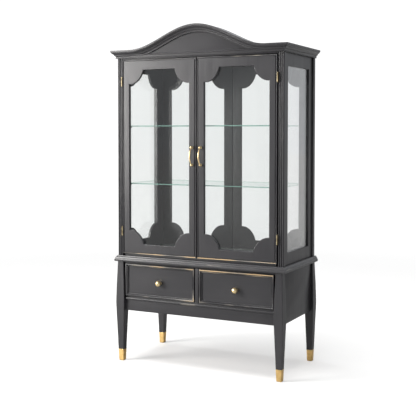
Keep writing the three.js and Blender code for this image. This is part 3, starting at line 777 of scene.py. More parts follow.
boards = {
    # node: piece, paint, softened edge
    "front_apron": ("plain_apron", "across", 0.0012),
    "top_rail": ("drawer_top_rail", "across", 0.0008),
    "base_side_left": ("base_end_left", "upright", 0.0010),
    "base_side_right": ("base_end_right", "upright", 0.0010),
    "base_back": ("base_back_board", "across", 0.0010),
    "drawer_divider": ("drawer_divider_stile", "upright", 0.0010),
    "post_rear_left": ("rear_post_left", "upright", 0.0012),
    "post_rear_right": ("rear_post_right", "upright", 0.0012),
    "cabinet_floor": ("case_floor_board", "across", 0.0008),
    "cabinet_top": ("case_roof_board", "across", 0.0010),
}


def makeBoards():
    for node, (name, grain, ease) in boards.items():
        toPiece(copiedBoard(node), name, paints[grain], node, ease=ease)
    node = "dust_panel"
    toPiece(copiedBoard(node), "drawer_dust_panel", [panelWood], node, slot="drawer_wood", ease=0.0006)


makeBoards()

apronBead = {"projection": 0.008, "height": 0.013, "shoulder": 0.4, "crest": 1.06, "rub": 0.16}


def makeApronBead():
    low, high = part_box("apron_bead")
    reach, tall = apronBead["projection"], apronBead["height"]
    near, far = reach * apronBead["shoulder"], reach * apronBead["crest"]
    section = [(0, 0)] + bezier((near, 0), (far, 0), (far, tall), (near, tall), 12) + [(0, tall)]
    bm = runOf("apronBead", section, (high.x - low.x) / 2, paints["across"][0])
    worn = bm.faces.layers.float.new("rub")
    for face in bm.faces:
        face[worn] = apronBead["rub"] if face.calc_center_median().y < -reach * 0.7 else 0.0
    moved(bm, (0, high.y, high.z))
    toPiece(bm, "apron_half_round", paints["across"][:1], "apron_bead")


makeApronBead()

waist = {
    # inset from the nose, height above the underside
    "profile": [
        (0.0055, 0.0), (0.0030, 0.0004), (0.0012, 0.0018), (0.0003, 0.0042), (0.0, 0.0078),
        (0.0003, 0.0116), (0.0012, 0.0142), (0.0026, 0.0158), (0.0032, 0.0164), (0.0041, 0.0168),
        (0.0043, 0.0184), (0.0048, 0.0212), (0.0060, 0.0242), (0.0079, 0.0268), (0.0101, 0.0288),
        (0.0112, 0.0296), (0.0116, 0.0302), (0.0120, 0.0312), (0.0126, 0.0330),
    ],
    "worn": (6, 7, 8, 9),  # strips of the profile where the paint is rubbed
    "rub": 0.26,
}


def makeWaist():
    low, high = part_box("waist_moulding")
    bm = bmesh.new()
    rings = [
        layRing(bm, rectangle(low.x + inset, high.x - inset, low.y + inset, high.y), low.z + rise, flatPlace)
        for inset, rise in waist["profile"]
    ]
    wornLoft(bm, rings, lambda strip, side: waist["rub"] if strip in waist["worn"] else 0.0)
    # The waist takes the glossier paint, which stands in for brighter highlights: painted highlight.
    toPiece(bm, "moulded_waist_board", [sheenWaistPaint], "waist_moulding")


makeWaist()

print("stage: corner posts")

post = {"reeds": 3, "reedDepth": 0.0050, "reedFlat": 0.0004, "face": 0.032, "arcSteps": 10, "rebate": 0.011}


def makeReedGrower():
    # Upright reeds side by side, each the same outline drawn up to a height.
    sockets = {"Reeds": "Int", "Pitch": "Float", "Height": "Float", "Section": "Object"}
    tree, ids, given = newGrower("postReeds", sockets)
    top = add(tree, "ShaderNodeCombineXYZ", {"Z": given["Height"]})
    reed = sweep(tree, add(tree, "GeometryNodeCurvePrimitiveLine", {"Start": (0, 0, 0), "End": top}), given)
    row = pointRow(tree, given["Reeds"], "X", given["Pitch"])
    endGrower(tree, onPoints(tree, row, reed), given)
    return tree, ids


reedGrower = makeReedGrower()


def makePost(hand, side):
    node = f"post_front_{hand}"
    low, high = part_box(node)
    stop, outer = sorted((abs(low.x), abs(high.x)))
    inner = outer - post["face"]
    front, back = low.y, high.y
    root = front + post["reedDepth"]
    step = back - post["rebate"]
    outline = [(inner, root), (outer, root), (outer, back), (stop, back), (stop, step), (inner, step)]
    bm = bmesh.new()
    loft(bm, [ring(bm, [(side * x, y, z) for x, y in outline]) for z in (low.z, high.z)])
    toPiece(bm, f"corner_post_{hand}", paints["upright"], node, ease=0.0007)

    pitch = post["face"] / post["reeds"]
    half, depth = pitch / 2 - post["reedFlat"], post["reedDepth"] - 0.0001
    section = [(u * half, -v * depth) for u, v in arc(0, 0, 1, 0, 180, post["arcSteps"])]
    helper = sectionObject("reedSection", section + [(-half, 0.002), (half, 0.002)])
    values = {
        "Reeds": post["reeds"],
        "Pitch": pitch,
        "Height": high.z - low.z,
        "Section": helper,
        "Finish": paints["upright"][0],
    }
    reeds = grow(reedGrower, values)
    dropHelpers(helper)
    lowest = Vector([min(v.co[k] for v in reeds.verts) for k in range(3)])
    left = inner if side > 0 else -outer
    moved(reeds, (left - lowest.x + post["reedFlat"], front - lowest.y, low.z))
    toPiece(reeds, f"post_reeds_{hand}", paints["upright"][:1])


for hand, side in hands.items():
    makePost(hand, side)

print("stage: frames with shaped windows")

scallop = {"width": 0.091, "height": 0.080, "ledge": 0.008, "steps": 14}


def shapedWindow(u0, u1, v0, v1):
    # An anticlockwise window outline whose four corners are scalloped.
    w, h, ledge = scallop["width"], scallop["height"], scallop["ledge"]
    near = (w - ledge) * 0.5 + ledge
    far = w - (w - ledge) * 0.1
    corner = [(0.0, h)] + bezier((ledge, h), (near, h), (far, h * 0.5), (w, 0.0), scallop["steps"])
    back = corner[::-1]
    outline = [(u0 + a, v0 + b) for a, b in corner] + [(u1 - a, v0 + b) for a, b in back]
    outline += [(u1 - a, v1 - b) for a, b in corner] + [(u0 + a, v1 - b) for a, b in back]
    return outline


def grownLoop(loop, distance):
    # The loop moved outwards by a distance, for a loop that runs anticlockwise.
    points = [Vector(p) for p in loop]
    result = []
    for i, here in enumerate(points):
        before = (here - points[i - 1]).normalized()
        after = (points[(i + 1) % len(points)] - here).normalized()
        sides = Vector((before.y, -before.x)), Vector((after.y, -after.x))
        middle = (sides[0] + sides[1]).normalized()
        result.append(here + middle * distance / max(0.4, middle.dot(sides[0])))
    return [tuple(p) for p in result]


def easedHole(bm, place, loop, depth, ease):
    # Rings of a hole's edge, rounded at the front and then straight back.
    rings = []
    for i in range(4):
        turn = math.radians(90 * i / 3)
        wider = grownLoop(loop, ease * (1 - math.sin(turn)))
        rings.append(layRing(bm, wider, ease * (1 - math.cos(turn)), place))
    return rings + [layRing(bm, loop, depth, place)]


def glazedFrame(bm, place, outer, opening, sizes, thick, ease):
    # Closes a frame between its outer rings: the shaped window, and the rebate for the glass behind it.
    u0, u1, v0, v1 = opening
    lap, layer = sizes["lap"], sizes["layer"]
    window = easedHole(bm, place, shapedWindow(u0, u1, v0, v1), layer, ease)
    fillBetween(bm, outer[-1], window[0])
    loft(bm, window, False)
    rebateLoop = rectangle(u0 - lap, u1 + lap, v0 - lap, v1 + lap)
    rebate = [layRing(bm, rebateLoop, depth, place) for depth in (layer, thick)]
    fillBetween(bm, rebate[0], window[-1])
    loft(bm, rebate + [outer[0]], False)


door = {
    "stile": 0.044,
    "bottomRail": 0.056,
    "topRail": 0.057,
    "beadRadius": 0.003,
    "beadSteps": 7,
    "grooveWidth": 0.0042,
    "grooveDepth": 0.0045,
    "layer": 0.014,  # wood in front of the glass
    "lap": 0.008,
    "windowEase": 0.0022,
    "backEase": 0.0008,
    # bottom, right, top, left
    "wornSides": {"left": (1.0, 0.10, 0.06, 0.12), "right": (0.98, 0.16, 0.42, 0.10)},
}


def beadProfile(radius, groove, depth, steps):
    # From the outer edge over a half-round bead, through a groove, to the flat.
    profile = [(radius + u, radius - v) for u, v in arc(0, 0, radius, 180, 0, steps)]
    flat = 2 * radius + groove
    profile += [(2 * radius, depth), (flat, depth)]
    return profile + [(flat, 0.0008), (flat + 0.0003, 0.0002), (flat + 0.0008, 0.0)]


def makeDoor(hand):
    node = f"door_frame_{hand}"
    low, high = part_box(node)
    place = frontPlace(low.y)
    thick, ease, steps = high.y - low.y, door["backEase"], door["beadSteps"]
    box = (low.x, high.x, low.z, high.z)
    bm = bmesh.new()
    back = edgeRings(bm, place, box, [(ease, thick), (0.0, thick - ease)])
    profile = beadProfile(door["beadRadius"], door["grooveWidth"], door["grooveDepth"], steps)
    front = edgeRings(bm, place, box, profile)
    loft(bm, back + front[:1], False)
    amounts = door["wornSides"][hand]
    wornLoft(
        bm,
        front,
        lambda strip, side: amounts[side] * math.sin(math.pi * strip / steps) if strip < steps else 0.0,
        False,
    )
    left, right = low.x + door["stile"], high.x - door["stile"]
    opening = (left, right, low.z + door["bottomRail"], high.z - door["topRail"])
    glazedFrame(bm, place, back + front, opening, door, thick, door["windowEase"])
    toPiece(bm, f"beaded_door_{hand}", paints["upright"][:1], node, sharp=40)


backFrame = {
    "inner": 0.0567,
    "outer": 0.0597,
    "bottom": 0.0707,
    "top": 0.091,
    "layer": 0.006,
    "lap": 0.008,
    "windowEase": 0.0024,
    "edge": [(0.0, 0.0036), (0.0008, 0.0016), (0.0030, 0.0)],  # inset and depth of the eased outer edge
}


def makeBackFrame(hand, side):
    node = f"back_frame_{hand}"
    low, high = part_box(node)
    place = frontPlace(low.y)
    thick = high.y - low.y
    bm = bmesh.new()
    outer = edgeRings(bm, place, (low.x, high.x, low.z, high.z), [(0.0, thick)] + backFrame["edge"])
    loft(bm, outer, False)
    left, right = (backFrame["inner"], backFrame["outer"])[::side]
    opening = (low.x + left, high.x - right, low.z + backFrame["bottom"], high.z - backFrame["top"])
    glazedFrame(bm, place, outer, opening, backFrame, thick, backFrame["windowEase"])
    toPiece(bm, f"shaped_back_{hand}", paints["upright"][:1], node, sharp=40)


sideFrame = {
    "face": 0.504,
    "inner": 0.478,
    "glassPlane": 0.4910,
    "front": 0.0477,
    "rear": 0.0517,
    "bottom": 0.0657,
    "top": 0.112,
    "lip": 0.006,
    "revealEase": 0.0015,
    "backingZ": 1.7415,
    "edge": [(0.0, 0.0010), (0.0003, 0.0003), (0.0010, 0.0)],
}


def makeSideFrame(hand, side):
    node = f"side_frame_{hand}"
    low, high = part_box(node)
    face, lip = sideFrame["face"], sideFrame["lip"]
    place = sidePlace(face, side)
    thick, deep = face - sideFrame["inner"], face - sideFrame["glassPlane"]
    bm = bmesh.new()
    outer = edgeRings(bm, place, (low.y, high.y, low.z, high.z), [(0.0, thick)] + sideFrame["edge"])
    loft(bm, outer, False)
    u0, u1 = low.y + sideFrame["front"], high.y - sideFrame["rear"]
    v0, v1 = low.z + sideFrame["bottom"], high.z - sideFrame["top"]
    reveal = easedHole(bm, place, rectangle(u0, u1, v0, v1), deep, sideFrame["revealEase"])
    fillBetween(bm, outer[-1], reveal[0])
    loft(bm, reveal, False)
    loop = shapedWindow(u0 + lip, u1 - lip, v0 + lip, v1 - lip)
    shaped = [layRing(bm, loop, depth, place) for depth in (deep, thick)]
    fillBetween(bm, reveal[-1], shaped[0])
    loft(bm, shaped, False)
    fillBetween(bm, outer[0], shaped[1])
    reach = max(abs(low.x), abs(high.x))
    addBox(bm, (face - 0.001, low.y, sideFrame["backingZ"]), (reach, high.y, high.z), side)
    toPiece(bm, f"shaped_side_{hand}", paints["upright"][:1], node, sharp=40)


for hand in hands:
    makeDoor(hand)
for hand, side in hands.items():
    makeBackFrame(hand, side)
for hand, side in hands.items():
    makeSideFrame(hand, side)

print("stage: crown and pediment")

crown = {
    "projection": 0.0293,
    "height": 0.0445,
    "archHalfSpan": 0.418,
    "archRise": 0.126,
    "steps": 121,
    "mitreGap": 0.0002,
    "spare": 0.002,  # cut off by the mitre
}


def crownSection():
    p, h = crown["projection"], crown["height"]
    section = [(0.0, 0.0), (p - 0.0006, 0.0), (p, 0.0006), (p, 0.0096)]
    section += [(p - 0.0005, 0.0102), (p - 0.0030, 0.0106)]
    section += bezier((p - 0.0032, 0.0112), (p - 0.0034, 0.0185), (p - 0.0128, 0.0180), (p - 0.0160, 0.0262), 9)
    section += [(p - 0.0163, 0.0286), (p - 0.0182, 0.0292)]
    section += bezier((p - 0.0186, 0.0300), (p - 0.0218, 0.0312), (p - 0.0234, 0.0342), (p - 0.0236, 0.0392), 6)
    section += [(p - 0.0226, 0.0398), (p - 0.0216, 0.0410), (p - 0.0214, 0.0424)]
    section += [(p - 0.0219, 0.0438), (p - 0.0230, h)]
    return section + [(0.0, h)]


def makeCrown():
    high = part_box("crown_front")[1]
    cornerLow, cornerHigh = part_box("crown_right")
    cornerX = cornerHigh.x - crown["projection"]
    levelZ = high.z - crown["archRise"]
    length = cornerHigh.y - cornerLow.y + crown["spare"]
    halfLength = cornerHigh.x + crown["spare"]
    bend = (crown["steps"], crown["archHalfSpan"], crown["archRise"])
    bm = runOf("crownFront", crownSection(), halfLength, paints["across"][0], *bend)
    moved(bm, (0, high.y, levelZ))
    for side in (-1, 1):
        slicedAt(bm, (side * (cornerX - crown["mitreGap"]), high.y, levelZ), (side, 1, 0))
    toPiece(bm, "arched_crown", paints["across"][:1], "crown_front", sharp=34)
    for hand, side in hands.items():
        bm = runOf("crownSide", crownSection(), length / 2, paints["deep"][0])
        moved(bm, turn=side * math.pi / 2)
        moved(bm, (side * cornerX, cornerHigh.y - length / 2, levelZ))
        slicedAt(bm, (side * cornerX, high.y, levelZ), (-side, -1, 0))
        toPiece(bm, f"crown_return_{hand}", paints["deep"][:1], f"crown_{hand}", sharp=34)


makeCrown()

pediment = {"steps": 96, "capThickness": 0.010, "capEase": 0.0012, "beadRadius": 0.0032}


def archZ(x):
    share = min(abs(x) / crown["archHalfSpan"], 1.0)
    return crown["archRise"] * 0.5 * (1 + math.cos(math.pi * share))


def makePediment():
    low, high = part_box("pediment_board")
    levelZ = high.z - crown["archRise"]
    steps = pediment["steps"]
    line = [high.x * (1 - 2 * i / steps) for i in range(steps + 1)]
    outline = [(low.x, low.z), (high.x, low.z)] + [(x, levelZ + archZ(x)) for x in line]
    bm = bmesh.new()
    loft(bm, [ring(bm, [(x, y, z) for x, z in outline]) for y in (low.y, high.y)])
    # The board takes the duller paint, which stands in for the crown's shade: painted shade.
    toPiece(bm, "tympanum_board", [shadedTympanumPaint], "pediment_board", sharp=34)

    low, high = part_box("pediment_cap")
    deep, thick, ease = high.y - low.y, pediment["capThickness"], pediment["capEase"]
    section = [(0, 0), (deep - ease, 0), (deep - ease / 3, ease / 3), (deep, ease), (deep, thick - ease)]
    section += [(deep - ease, thick), (0, thick)]
    bend = (steps + 1, crown["archHalfSpan"], crown["archRise"])
    bm = runOf("pedimentCap", section, high.x, paints["across"][0], *bend)
    moved(bm, turn=math.pi)
    moved(bm, (0, low.y, high.z - crown["archRise"]))
    toPiece(bm, "bent_cap", paints["across"][:1], "pediment_cap", sharp=34)

    low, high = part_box("frieze_bead")
    reach, tall, radius = high.y - low.y, high.z - low.z, pediment["beadRadius"]
    section = [(0, 0), (reach - 0.0040, 0)] + arc(reach - radius, 0.0036, radius, -90, 90, 7)
    section += [(reach - 0.0040, 0.0072), (reach - 0.0046, 0.0080)]
    cove = ((0.0046, 0.0086), (0.0050, 0.0150), (0.0062, 0.0170), (0.0064, tall))
    section += bezier(*[(reach - back, drop) for back, drop in cove], 6) + [(0, tall)]
    bm = runOf("friezeBead", section, high.x, paints["across"][0])
    moved(bm, (0, high.y, high.z))
    toPiece(bm, "tympanum_bead", paints["across"][:1], "frieze_bead", sharp=34)


makePediment()

print("stage: drawers")

drawer = {
    "wornSides": (0.45, 0.62, 0.95, 0.45),
    # inset from the edge, depth behind the front
    "profile": [
        (0.0, 0.0220), (0.0, 0.0030), (0.0004, 0.0016), (0.0014, 0.0006), (0.0030, 0.0001), (0.0044, 0.0),
        (0.0058, 0.0001), (0.0072, 0.0007), (0.0082, 0.0018), (0.0087, 0.0034), (0.0088, 0.0072),
        (0.0112, 0.0078), (0.0114, 0.0052), (0.0118, 0.0046), (0.0128, 0.0043), (0.0140, 0.0046),
        (0.0147, 0.0054), (0.0150, 0.0068), (0.0152, 0.0104), (0.0160, 0.0110),
    ],
    # the bead's crest, then the inner step
    "wornStrips": {3: 1.0, 4: 1.0, 5: 1.0, 6: 1.0, 13: 0.6, 14: 0.6, 15: 0.6},
}


def makeDrawer(hand):
    node = f"drawer_front_{hand}"
    low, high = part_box(node)
    bm = bmesh.new()
    rings = edgeRings(bm, frontPlace(low.y), (low.x, high.x, low.z, high.z), drawer["profile"])
    wornLoft(bm, rings, lambda strip, side: drawer["wornSides"][side] * drawer["wornStrips"].get(strip, 0.0))
    toPiece(bm, f"beaded_drawer_{hand}", paints["across"][:1], node, sharp=40)
    node = f"drawer_tray_{hand}"
    toPiece(copiedBoard(node), f"drawer_box_{hand}", [trayWood], node, slot="drawer_wood", ease=0.0008)


for hand in hands:
    makeDrawer(hand)

print("stage: brass fittings")


def turned(bm, start, direction, profile, segments=32):
    # A turned shape: profile is [(distance along, radius)] from the start point.
    axis = Vector(direction).normalized()
    across = axis.orthogonal().normalized()
    other = axis.cross(across)
    start = Vector(start)
    rings, first, last = [], None, None
    for along, radius in profile:
        if radius <= 1e-6:
            tip = bm.verts.new(start + axis * along)
            if rings:
                last = tip
            else:
                first = tip
            continue
        turnStep = 2 * math.pi / segments
        spokes = [across * math.cos(k * turnStep) + other * math.sin(k * turnStep) for k in range(segments)]
        rings.append(ring(bm, [start + axis * along + spoke * radius for spoke in spokes]))
    loft(bm, rings, False)
    for tip, loop in ((first, rings[0]), (last, rings[-1])):
        if tip is None:
            bm.faces.new(loop)
        else:
            for k in range(segments):
                bm.faces.new((loop[k], loop[(k + 1) % segments], tip))


def ballProfile(radius, middle, neck, steps):
    # A ball from its neck to its tip, as (distance along, radius).
    begin = math.asin(neck / radius)
    turns = [begin + (math.pi - begin) * i / steps for i in range(steps)]
    return [(middle - radius * math.cos(a), radius * math.sin(a)) for a in turns] + [(middle + radius, 0.0)]


knob = {
    # distance from the drawer panel, radius
    "profile": [
        (0.0, 0.0104), (0.0010, 0.0106), (0.0020, 0.0102), (0.0026, 0.0090), (0.0032, 0.0078), (0.0044, 0.0070),
        (0.0060, 0.0067), (0.0072, 0.0068), (0.0078, 0.0076),
    ],
    "ballRadius": 0.0165,
    "ballMiddle": 0.0195,
    "neck": 0.0080,
}


def makeKnob(hand):
    node = f"drawer_knob_{hand}"
    low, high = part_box(node)
    middle = ((low.x + high.x) / 2, high.y, (low.z + high.z) / 2)
    bm = bmesh.new()
    ball = ballProfile(knob["ballRadius"], knob["ballMiddle"], knob["neck"], 18)
    turned(bm, middle, (0, -1, 0), knob["profile"] + ball, 40)
    toPiece(bm, f"ball_knob_{hand}", [polishedBrass], node, slot="brass", sharp=50)


pull = {
    "centres": 0.096,
    "steps": 44,
    "sides": 16,
    "standOff": 0.0092,  # from the door to the grip's ends
    "gripHalf": 0.0030,
    "bow": 0.85,  # below 1 the grip is fuller than a plain arch
    "wide": (0.0022, 0.0022),  # half width at the ends, and how much more in the middle
    "thin": (0.0021, 0.0009),
    "swell": 2.2,
    "rose": [(0.0, 0.0074), (0.0008, 0.0077), (0.0018, 0.0072), (0.0026, 0.0056), (0.0034, 0.0052)],
    "ballSet": 0.0028,
    "neck": 0.0050,
    "balls": {-1: 0.006864, 1: 0.0078},  # radius at the foot and at the top
}


def makePull(hand):
    node = f"door_pull_{hand}"
    low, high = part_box(node)
    x, y, z = (low.x + high.x) / 2, high.y, (low.z + high.z) / 2
    half, ends = pull["centres"] / 2, y - pull["standOff"]
    shares = [2 * i / pull["steps"] - 1 for i in range(pull["steps"] + 1)]
    path = []
    for t in shares:
        bow = math.cos(math.pi / 2 * t) ** pull["bow"] if abs(t) < 1 else 0.0
        path.append(Vector((x, ends - (ends - low.y - pull["gripHalf"]) * bow, z + half * t)))
    bm = bmesh.new()
    rings = []
    broad = Vector((1, 0, 0))
    for i, (t, point) in enumerate(zip(shares, path)):
        along = (path[min(i + 1, len(path) - 1)] - path[max(i - 1, 0)]).normalized()
        swell = 1 - abs(t) ** pull["swell"]
        wide, thin = [least + more * swell for least, more in (pull["wide"], pull["thin"])]
        flat = along.cross(broad) * thin
        turns = [2 * math.pi * k / pull["sides"] for k in range(pull["sides"])]
        rings.append(ring(bm, [point + broad * wide * math.cos(a) + flat * math.sin(a) for a in turns]))
    loft(bm, rings)
    for end, size in pull["balls"].items():
        ball = ballProfile(size, pull["ballSet"] + size, pull["neck"], 12)
        turned(bm, (x, y, z + end * half), (0, -1, 0), pull["rose"] + ball, 28)
    toPiece(bm, f"bow_pull_{hand}", [polishedBrass], node, slot="brass", sharp=50)


for hand in hands:
    makeKnob(hand)
for hand in hands:
    makePull(hand)

fitting = {
    "screwRadius": 0.0030,
    "slotHalf": 0.0004,
    "pegRadius": 0.0035,
    "pegLength": 0.0120,
    "pegCollar": 0.0054,
    "pegInset": (0.046, 0.052),  # peg centres behind the shelf's front edge and before its rear edge
}


def makeFittingGrower():
    # The same small fitting, turned one way, at every point it is given.
    tree, ids, given = newGrower("fittingsAtPoints", {"Fitting": "Object", "Turn": "Vector"})
    info = put(tree, "GeometryNodeObjectInfo", {"Object": given["Fitting"]})
    turn = add(tree, "FunctionNodeEulerToRotation", {0: given["Turn"]})
    endGrower(tree, onPoints(tree, given["Geometry"], info.outputs["Geometry"], Rotation=turn), given)
    return tree, ids


fittingGrower = makeFittingGrower()
toRight = (0.0, math.pi / 2, 0.0)  # turns that point a fitting's head a way
toLeft = (0.0, -math.pi / 2, 0.0)
toRear = (-math.pi / 2, 0.0, 0.0)


def helperFrom(bm, name):
    bmesh.ops.recalc_face_normals(bm, faces=bm.faces)
    mesh = bpy.data.meshes.new(name)
    bm.to_mesh(mesh)
    bm.free()
    helper = bpy.data.objects.new(name, mesh)
    scene.collection.objects.link(helper)
    return helper


def screwShape():
    # A slotted head: a dished rim and two half moons either side of the slot.
    radius = fitting["screwRadius"]
    bm = bmesh.new()
    rim = [(0.0, radius * 0.45), (0.0010, radius * 0.92), (0.0012, radius), (0.0014, radius), (0.0015, 0.0)]
    turned(bm, (0, 0, -0.0012), (0, 0, 1), rim, 20)
    for half in (-1, 1):
        rings = []
        for z, size in ((0.0001, 0.97), (0.0006, 0.93), (0.0009, 0.78)):
            moon = arc(0, 0, radius * size, 6, 174, 10)
            rings.append(ring(bm, [(u, half * max(v, fitting["slotHalf"]), z) for u, v in moon]))
        loft(bm, rings)
    return helperFrom(bm, "screw")


def pegShape():
    radius, collar, length = fitting["pegRadius"], fitting["pegCollar"], fitting["pegLength"]
    bm = bmesh.new()
    profile = [(0.0, collar), (0.0014, collar), (0.0018, collar - 0.0004), (0.0019, radius)]
    profile += [(length, radius), (length + 0.0006, radius - 0.0006), (length + 0.0008, 0.0)]
    turned(bm, (0, 0, -0.0008), (0, 0, 1), profile, 24)
    return helperFrom(bm, "peg")


def fitted(shape, turn, finish, points):
    return grow(fittingGrower, {"Fitting": shape, "Turn": turn, "Finish": finish}, points)


screw = screwShape()

hinge = {
    "length": 0.054,
    "knuckles": 5,
    "gap": 0.0004,  # between knuckles
    "barrelRadius": 0.004,
    "barrelX": 0.478,
    "shownRadius": 0.0031,
    "leafThickness": 0.0014,
    "leafSetBack": 0.0043,
    "screwPitch": 0.0185,
    "pinTip": [(-0.001, 0.0022), (0.0003, 0.0024), (0.0008, 0.0020), (0.0010, 0.0)],
}


def makeKnuckleGrower():
    # Equal knuckles up a pin, every other one belonging to the other leaf; each has softened ends.
    sockets = {"Count": "Int", "Step": "Float", "Knuckle Length": "Float", "Radius": "Float"}
    tree, ids, given = newGrower("hingeKnuckles", sockets)
    ease = 0.0004
    both = put(tree, "GeometryNodeJoinGeometry")
    for thinner, shorter in ((0.0, 2 * ease), (ease, 0.0)):
        radius = calc(tree, "SUBTRACT", given["Radius"], thinner)
        depth = calc(tree, "SUBTRACT", given["Knuckle Length"], shorter)
        inputs = {"Vertices": 24, "Radius": radius, "Depth": depth}
        tree.links.new(add(tree, "GeometryNodeMeshCylinder", inputs), both.inputs[0])
    row = pointRow(tree, given["Count"], "Z", given["Step"])
    endGrower(tree, onPoints(tree, row, both.outputs[0]), given)
    return tree, ids


knuckleGrower = makeKnuckleGrower()


def makeHingeLeaf(hand, side, level, leaf, first, count):
    # One leaf with its plate, its screws and its knuckles, of which first is the lowest.
    node = f"hinge_{leaf}_leaf_{hand}_{level}"
    low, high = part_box(node)
    onPost = leaf == "post"
    size, gap = hinge["length"] / hinge["knuckles"], hinge["gap"]
    barrelX, barrelY = side * hinge["barrelX"], low.y + hinge["barrelRadius"]
    values = {
        "Count": count,
        "Step": size * 2,
        "Knuckle Length": size - gap,
        "Radius": hinge["shownRadius"],
        "Finish": dullBrass,
    }
    barrel = grow(knuckleGrower, values)
    moved(barrel, (barrelX, barrelY, low.z + size * (first + 0.5)))
    near, far = sorted((abs(low.x), abs(high.x)))
    x0 = far - hinge["leafThickness"] if onPost else near
    x1 = x0 + hinge["leafThickness"]
    plateY = barrelY + hinge["leafSetBack"]
    plates = bmesh.new()
    addBox(plates, (x0, plateY, low.z), (x1, high.y, high.z), side)
    for i in range(count):
        z = low.z + size * (first + 2 * i) + gap / 2
        addBox(plates, (x0, barrelY, z), (x1, plateY + 0.0002, z + size - gap), side)
    headX = side * (x0 if onPost else x1)
    headY, middleZ = (plateY + high.y) / 2 + 0.002, (low.z + high.z) / 2
    spots = [(headX, headY - 0.003 * (k == 0), middleZ + hinge["screwPitch"] * k) for k in (-1, 0, 1)]
    turn = toLeft if (side > 0) == onPost else toRight
    solids = [barrel, plates, fitted(screw, turn, dullBrass, spots)]
    if onPost:
        pins = bmesh.new()
        for end, up in ((low.z, -1), (high.z, 1)):
            turned(pins, (barrelX, barrelY, end - up * 0.0010), (0, 0, up), hinge["pinTip"], 20)
        solids.append(pins)
    toPiece(joined(*solids), f"butt_hinge_{leaf}_{hand}_{level}", [dullBrass], node, slot="brass", sharp=40)


for hand, side in hands.items():
    for level in ("upper", "lower"):
        makeHingeLeaf(hand, side, level, "post", 0, 3)
        makeHingeLeaf(hand, side, level, "door", 1, 2)

print("stage: pegs, catches and glazing beads")


def makePegs():
    peg = pegShape()
    for hand, side in hands.items():
        faceX = side * sideFrame["inner"]
        points = []
        for level in ("upper", "lower"):
            low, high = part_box(f"shelf_{level}")
            z = low.z - 0.0003 - fitting["pegRadius"]
            points += [(faceX, low.y + fitting["pegInset"][0], z), (faceX, high.y - fitting["pegInset"][1], z)]
        pegs = fitted(peg, toLeft if side > 0 else toRight, darkSteel, points)
        toPiece(pegs, f"shelf_pegs_{hand}", [darkSteel])
    dropHelpers(peg)


bead = {"width": 0.0070, "clear": 0.0003, "glass": 0.0043, "round": 0.0045, "steps": 5}


def makeBead(kind, sizes, hand):
    # A bead laid in a frame's rebate against the glass, rounded on its open corner.
    node = f"{kind}_frame_{hand}"
    frameLow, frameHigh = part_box(node)
    low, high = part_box(f"{kind}_glass_{hand}")
    depth0 = sizes["layer"] + bead["glass"] + 0.0002
    depth1 = frameHigh.y - frameLow.y - 0.0006
    drop = min(bead["round"], depth1 - depth0 - 0.0006)
    flat = bead["width"] - bead["round"]
    profile = [(bead["clear"], depth0), (bead["clear"], depth1), (flat, depth1)]
    for i in range(1, bead["steps"] + 1):
        turn = math.radians(90 * i / bead["steps"])
        profile.append((flat + bead["round"] * math.sin(turn), depth1 - drop + drop * math.cos(turn)))
    profile.append((bead["width"], depth0))
    bm = bmesh.new()
    rings = edgeRings(bm, frontPlace(frameLow.y), (low.x, high.x, low.z, high.z), profile)
    loft(bm, rings + rings[:1], False)
    toPiece(bm, f"glazing_bead_{kind}_{hand}", paints["upright"][:1], body=bodyOf[node])


catch = {
    "ends": (0.034, 0.080),  # from the cabinet's middle
    "case": (0.0012, 0.0125, 0.0110),  # front, back and drop
    "magnets": (0.046, 0.068),
    "magnetHalf": 0.006,
    "plateThickness": 0.0009,
    "plateScrews": (0.0395, 0.0745),
}


def makeCatch(hand, side):
    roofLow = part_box("cabinet_top")[0]
    top, front = roofLow.z - 0.0001, roofLow.y
    x0, x1 = catch["ends"]
    fore, aft, drop = catch["case"]
    bm = bmesh.new()
    addBox(bm, (x0, front + fore, top - drop), (x1, front + aft, top), side)
    plastic = len(bm.faces)
    for middle in catch["magnets"]:
        a, b = middle - catch["magnetHalf"], middle + catch["magnetHalf"]
        addBox(bm, (a, front + 0.0005, top - 0.0090), (b, front + 0.0060, top - 0.0030), side)
    bm.faces.ensure_lookup_table()
    for face in bm.faces[plastic:]:
        face.material_index = 1
    toPiece(bm, f"magnetic_catch_{hand}", [catchPlastic, zincSteel])

    node = f"door_frame_{hand}"
    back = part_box(node)[1].y
    outer = back + catch["plateThickness"]
    bm = bmesh.new()
    addBox(bm, (x0, back, top - 0.0100), (x1, outer, top - 0.0010), side)
    points = [(side * x, outer, top - 0.0055) for x in catch["plateScrews"]]
    plate = joined(bm, fitted(screw, toRear, polishedBrass, points))
    toPiece(plate, f"strike_plate_{hand}", [polishedBrass], body=bodyOf[node], slot="brass")


# Sizes of the dark strip that stands in for the shade in the gap between the doors: painted shade.
strip = {"fromX": -0.0002, "toX": 0.0039, "front": 0.0135, "back": 0.0195, "short": 0.003, "ease": 0.0004}


def makeGapShadeStrip():
    # A near-black strip on the left door's edge, in the gap between the doors: painted shade standing in for
    # the shade that falls in that gap.
    low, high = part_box("door_frame_left")
    bm = bmesh.new()
    start = (high.x + strip["fromX"], low.y + strip["front"], low.z + strip["short"])
    addBox(bm, start, (high.x + strip["toX"], low.y + strip["back"], high.z - strip["short"]))
    toPiece(bm, "meeting_strip", [catchPlastic], body=bodyOf["door_frame_left"], ease=strip["ease"])


backScrews = {
    "edge": 0.012,
    "fromEnd": 0.06,
    "railEdge": 0.014,
    "railX": (0.10, 0.24, 0.38),
    "baseEdge": 0.016,
    "baseEnd": 0.04,
}


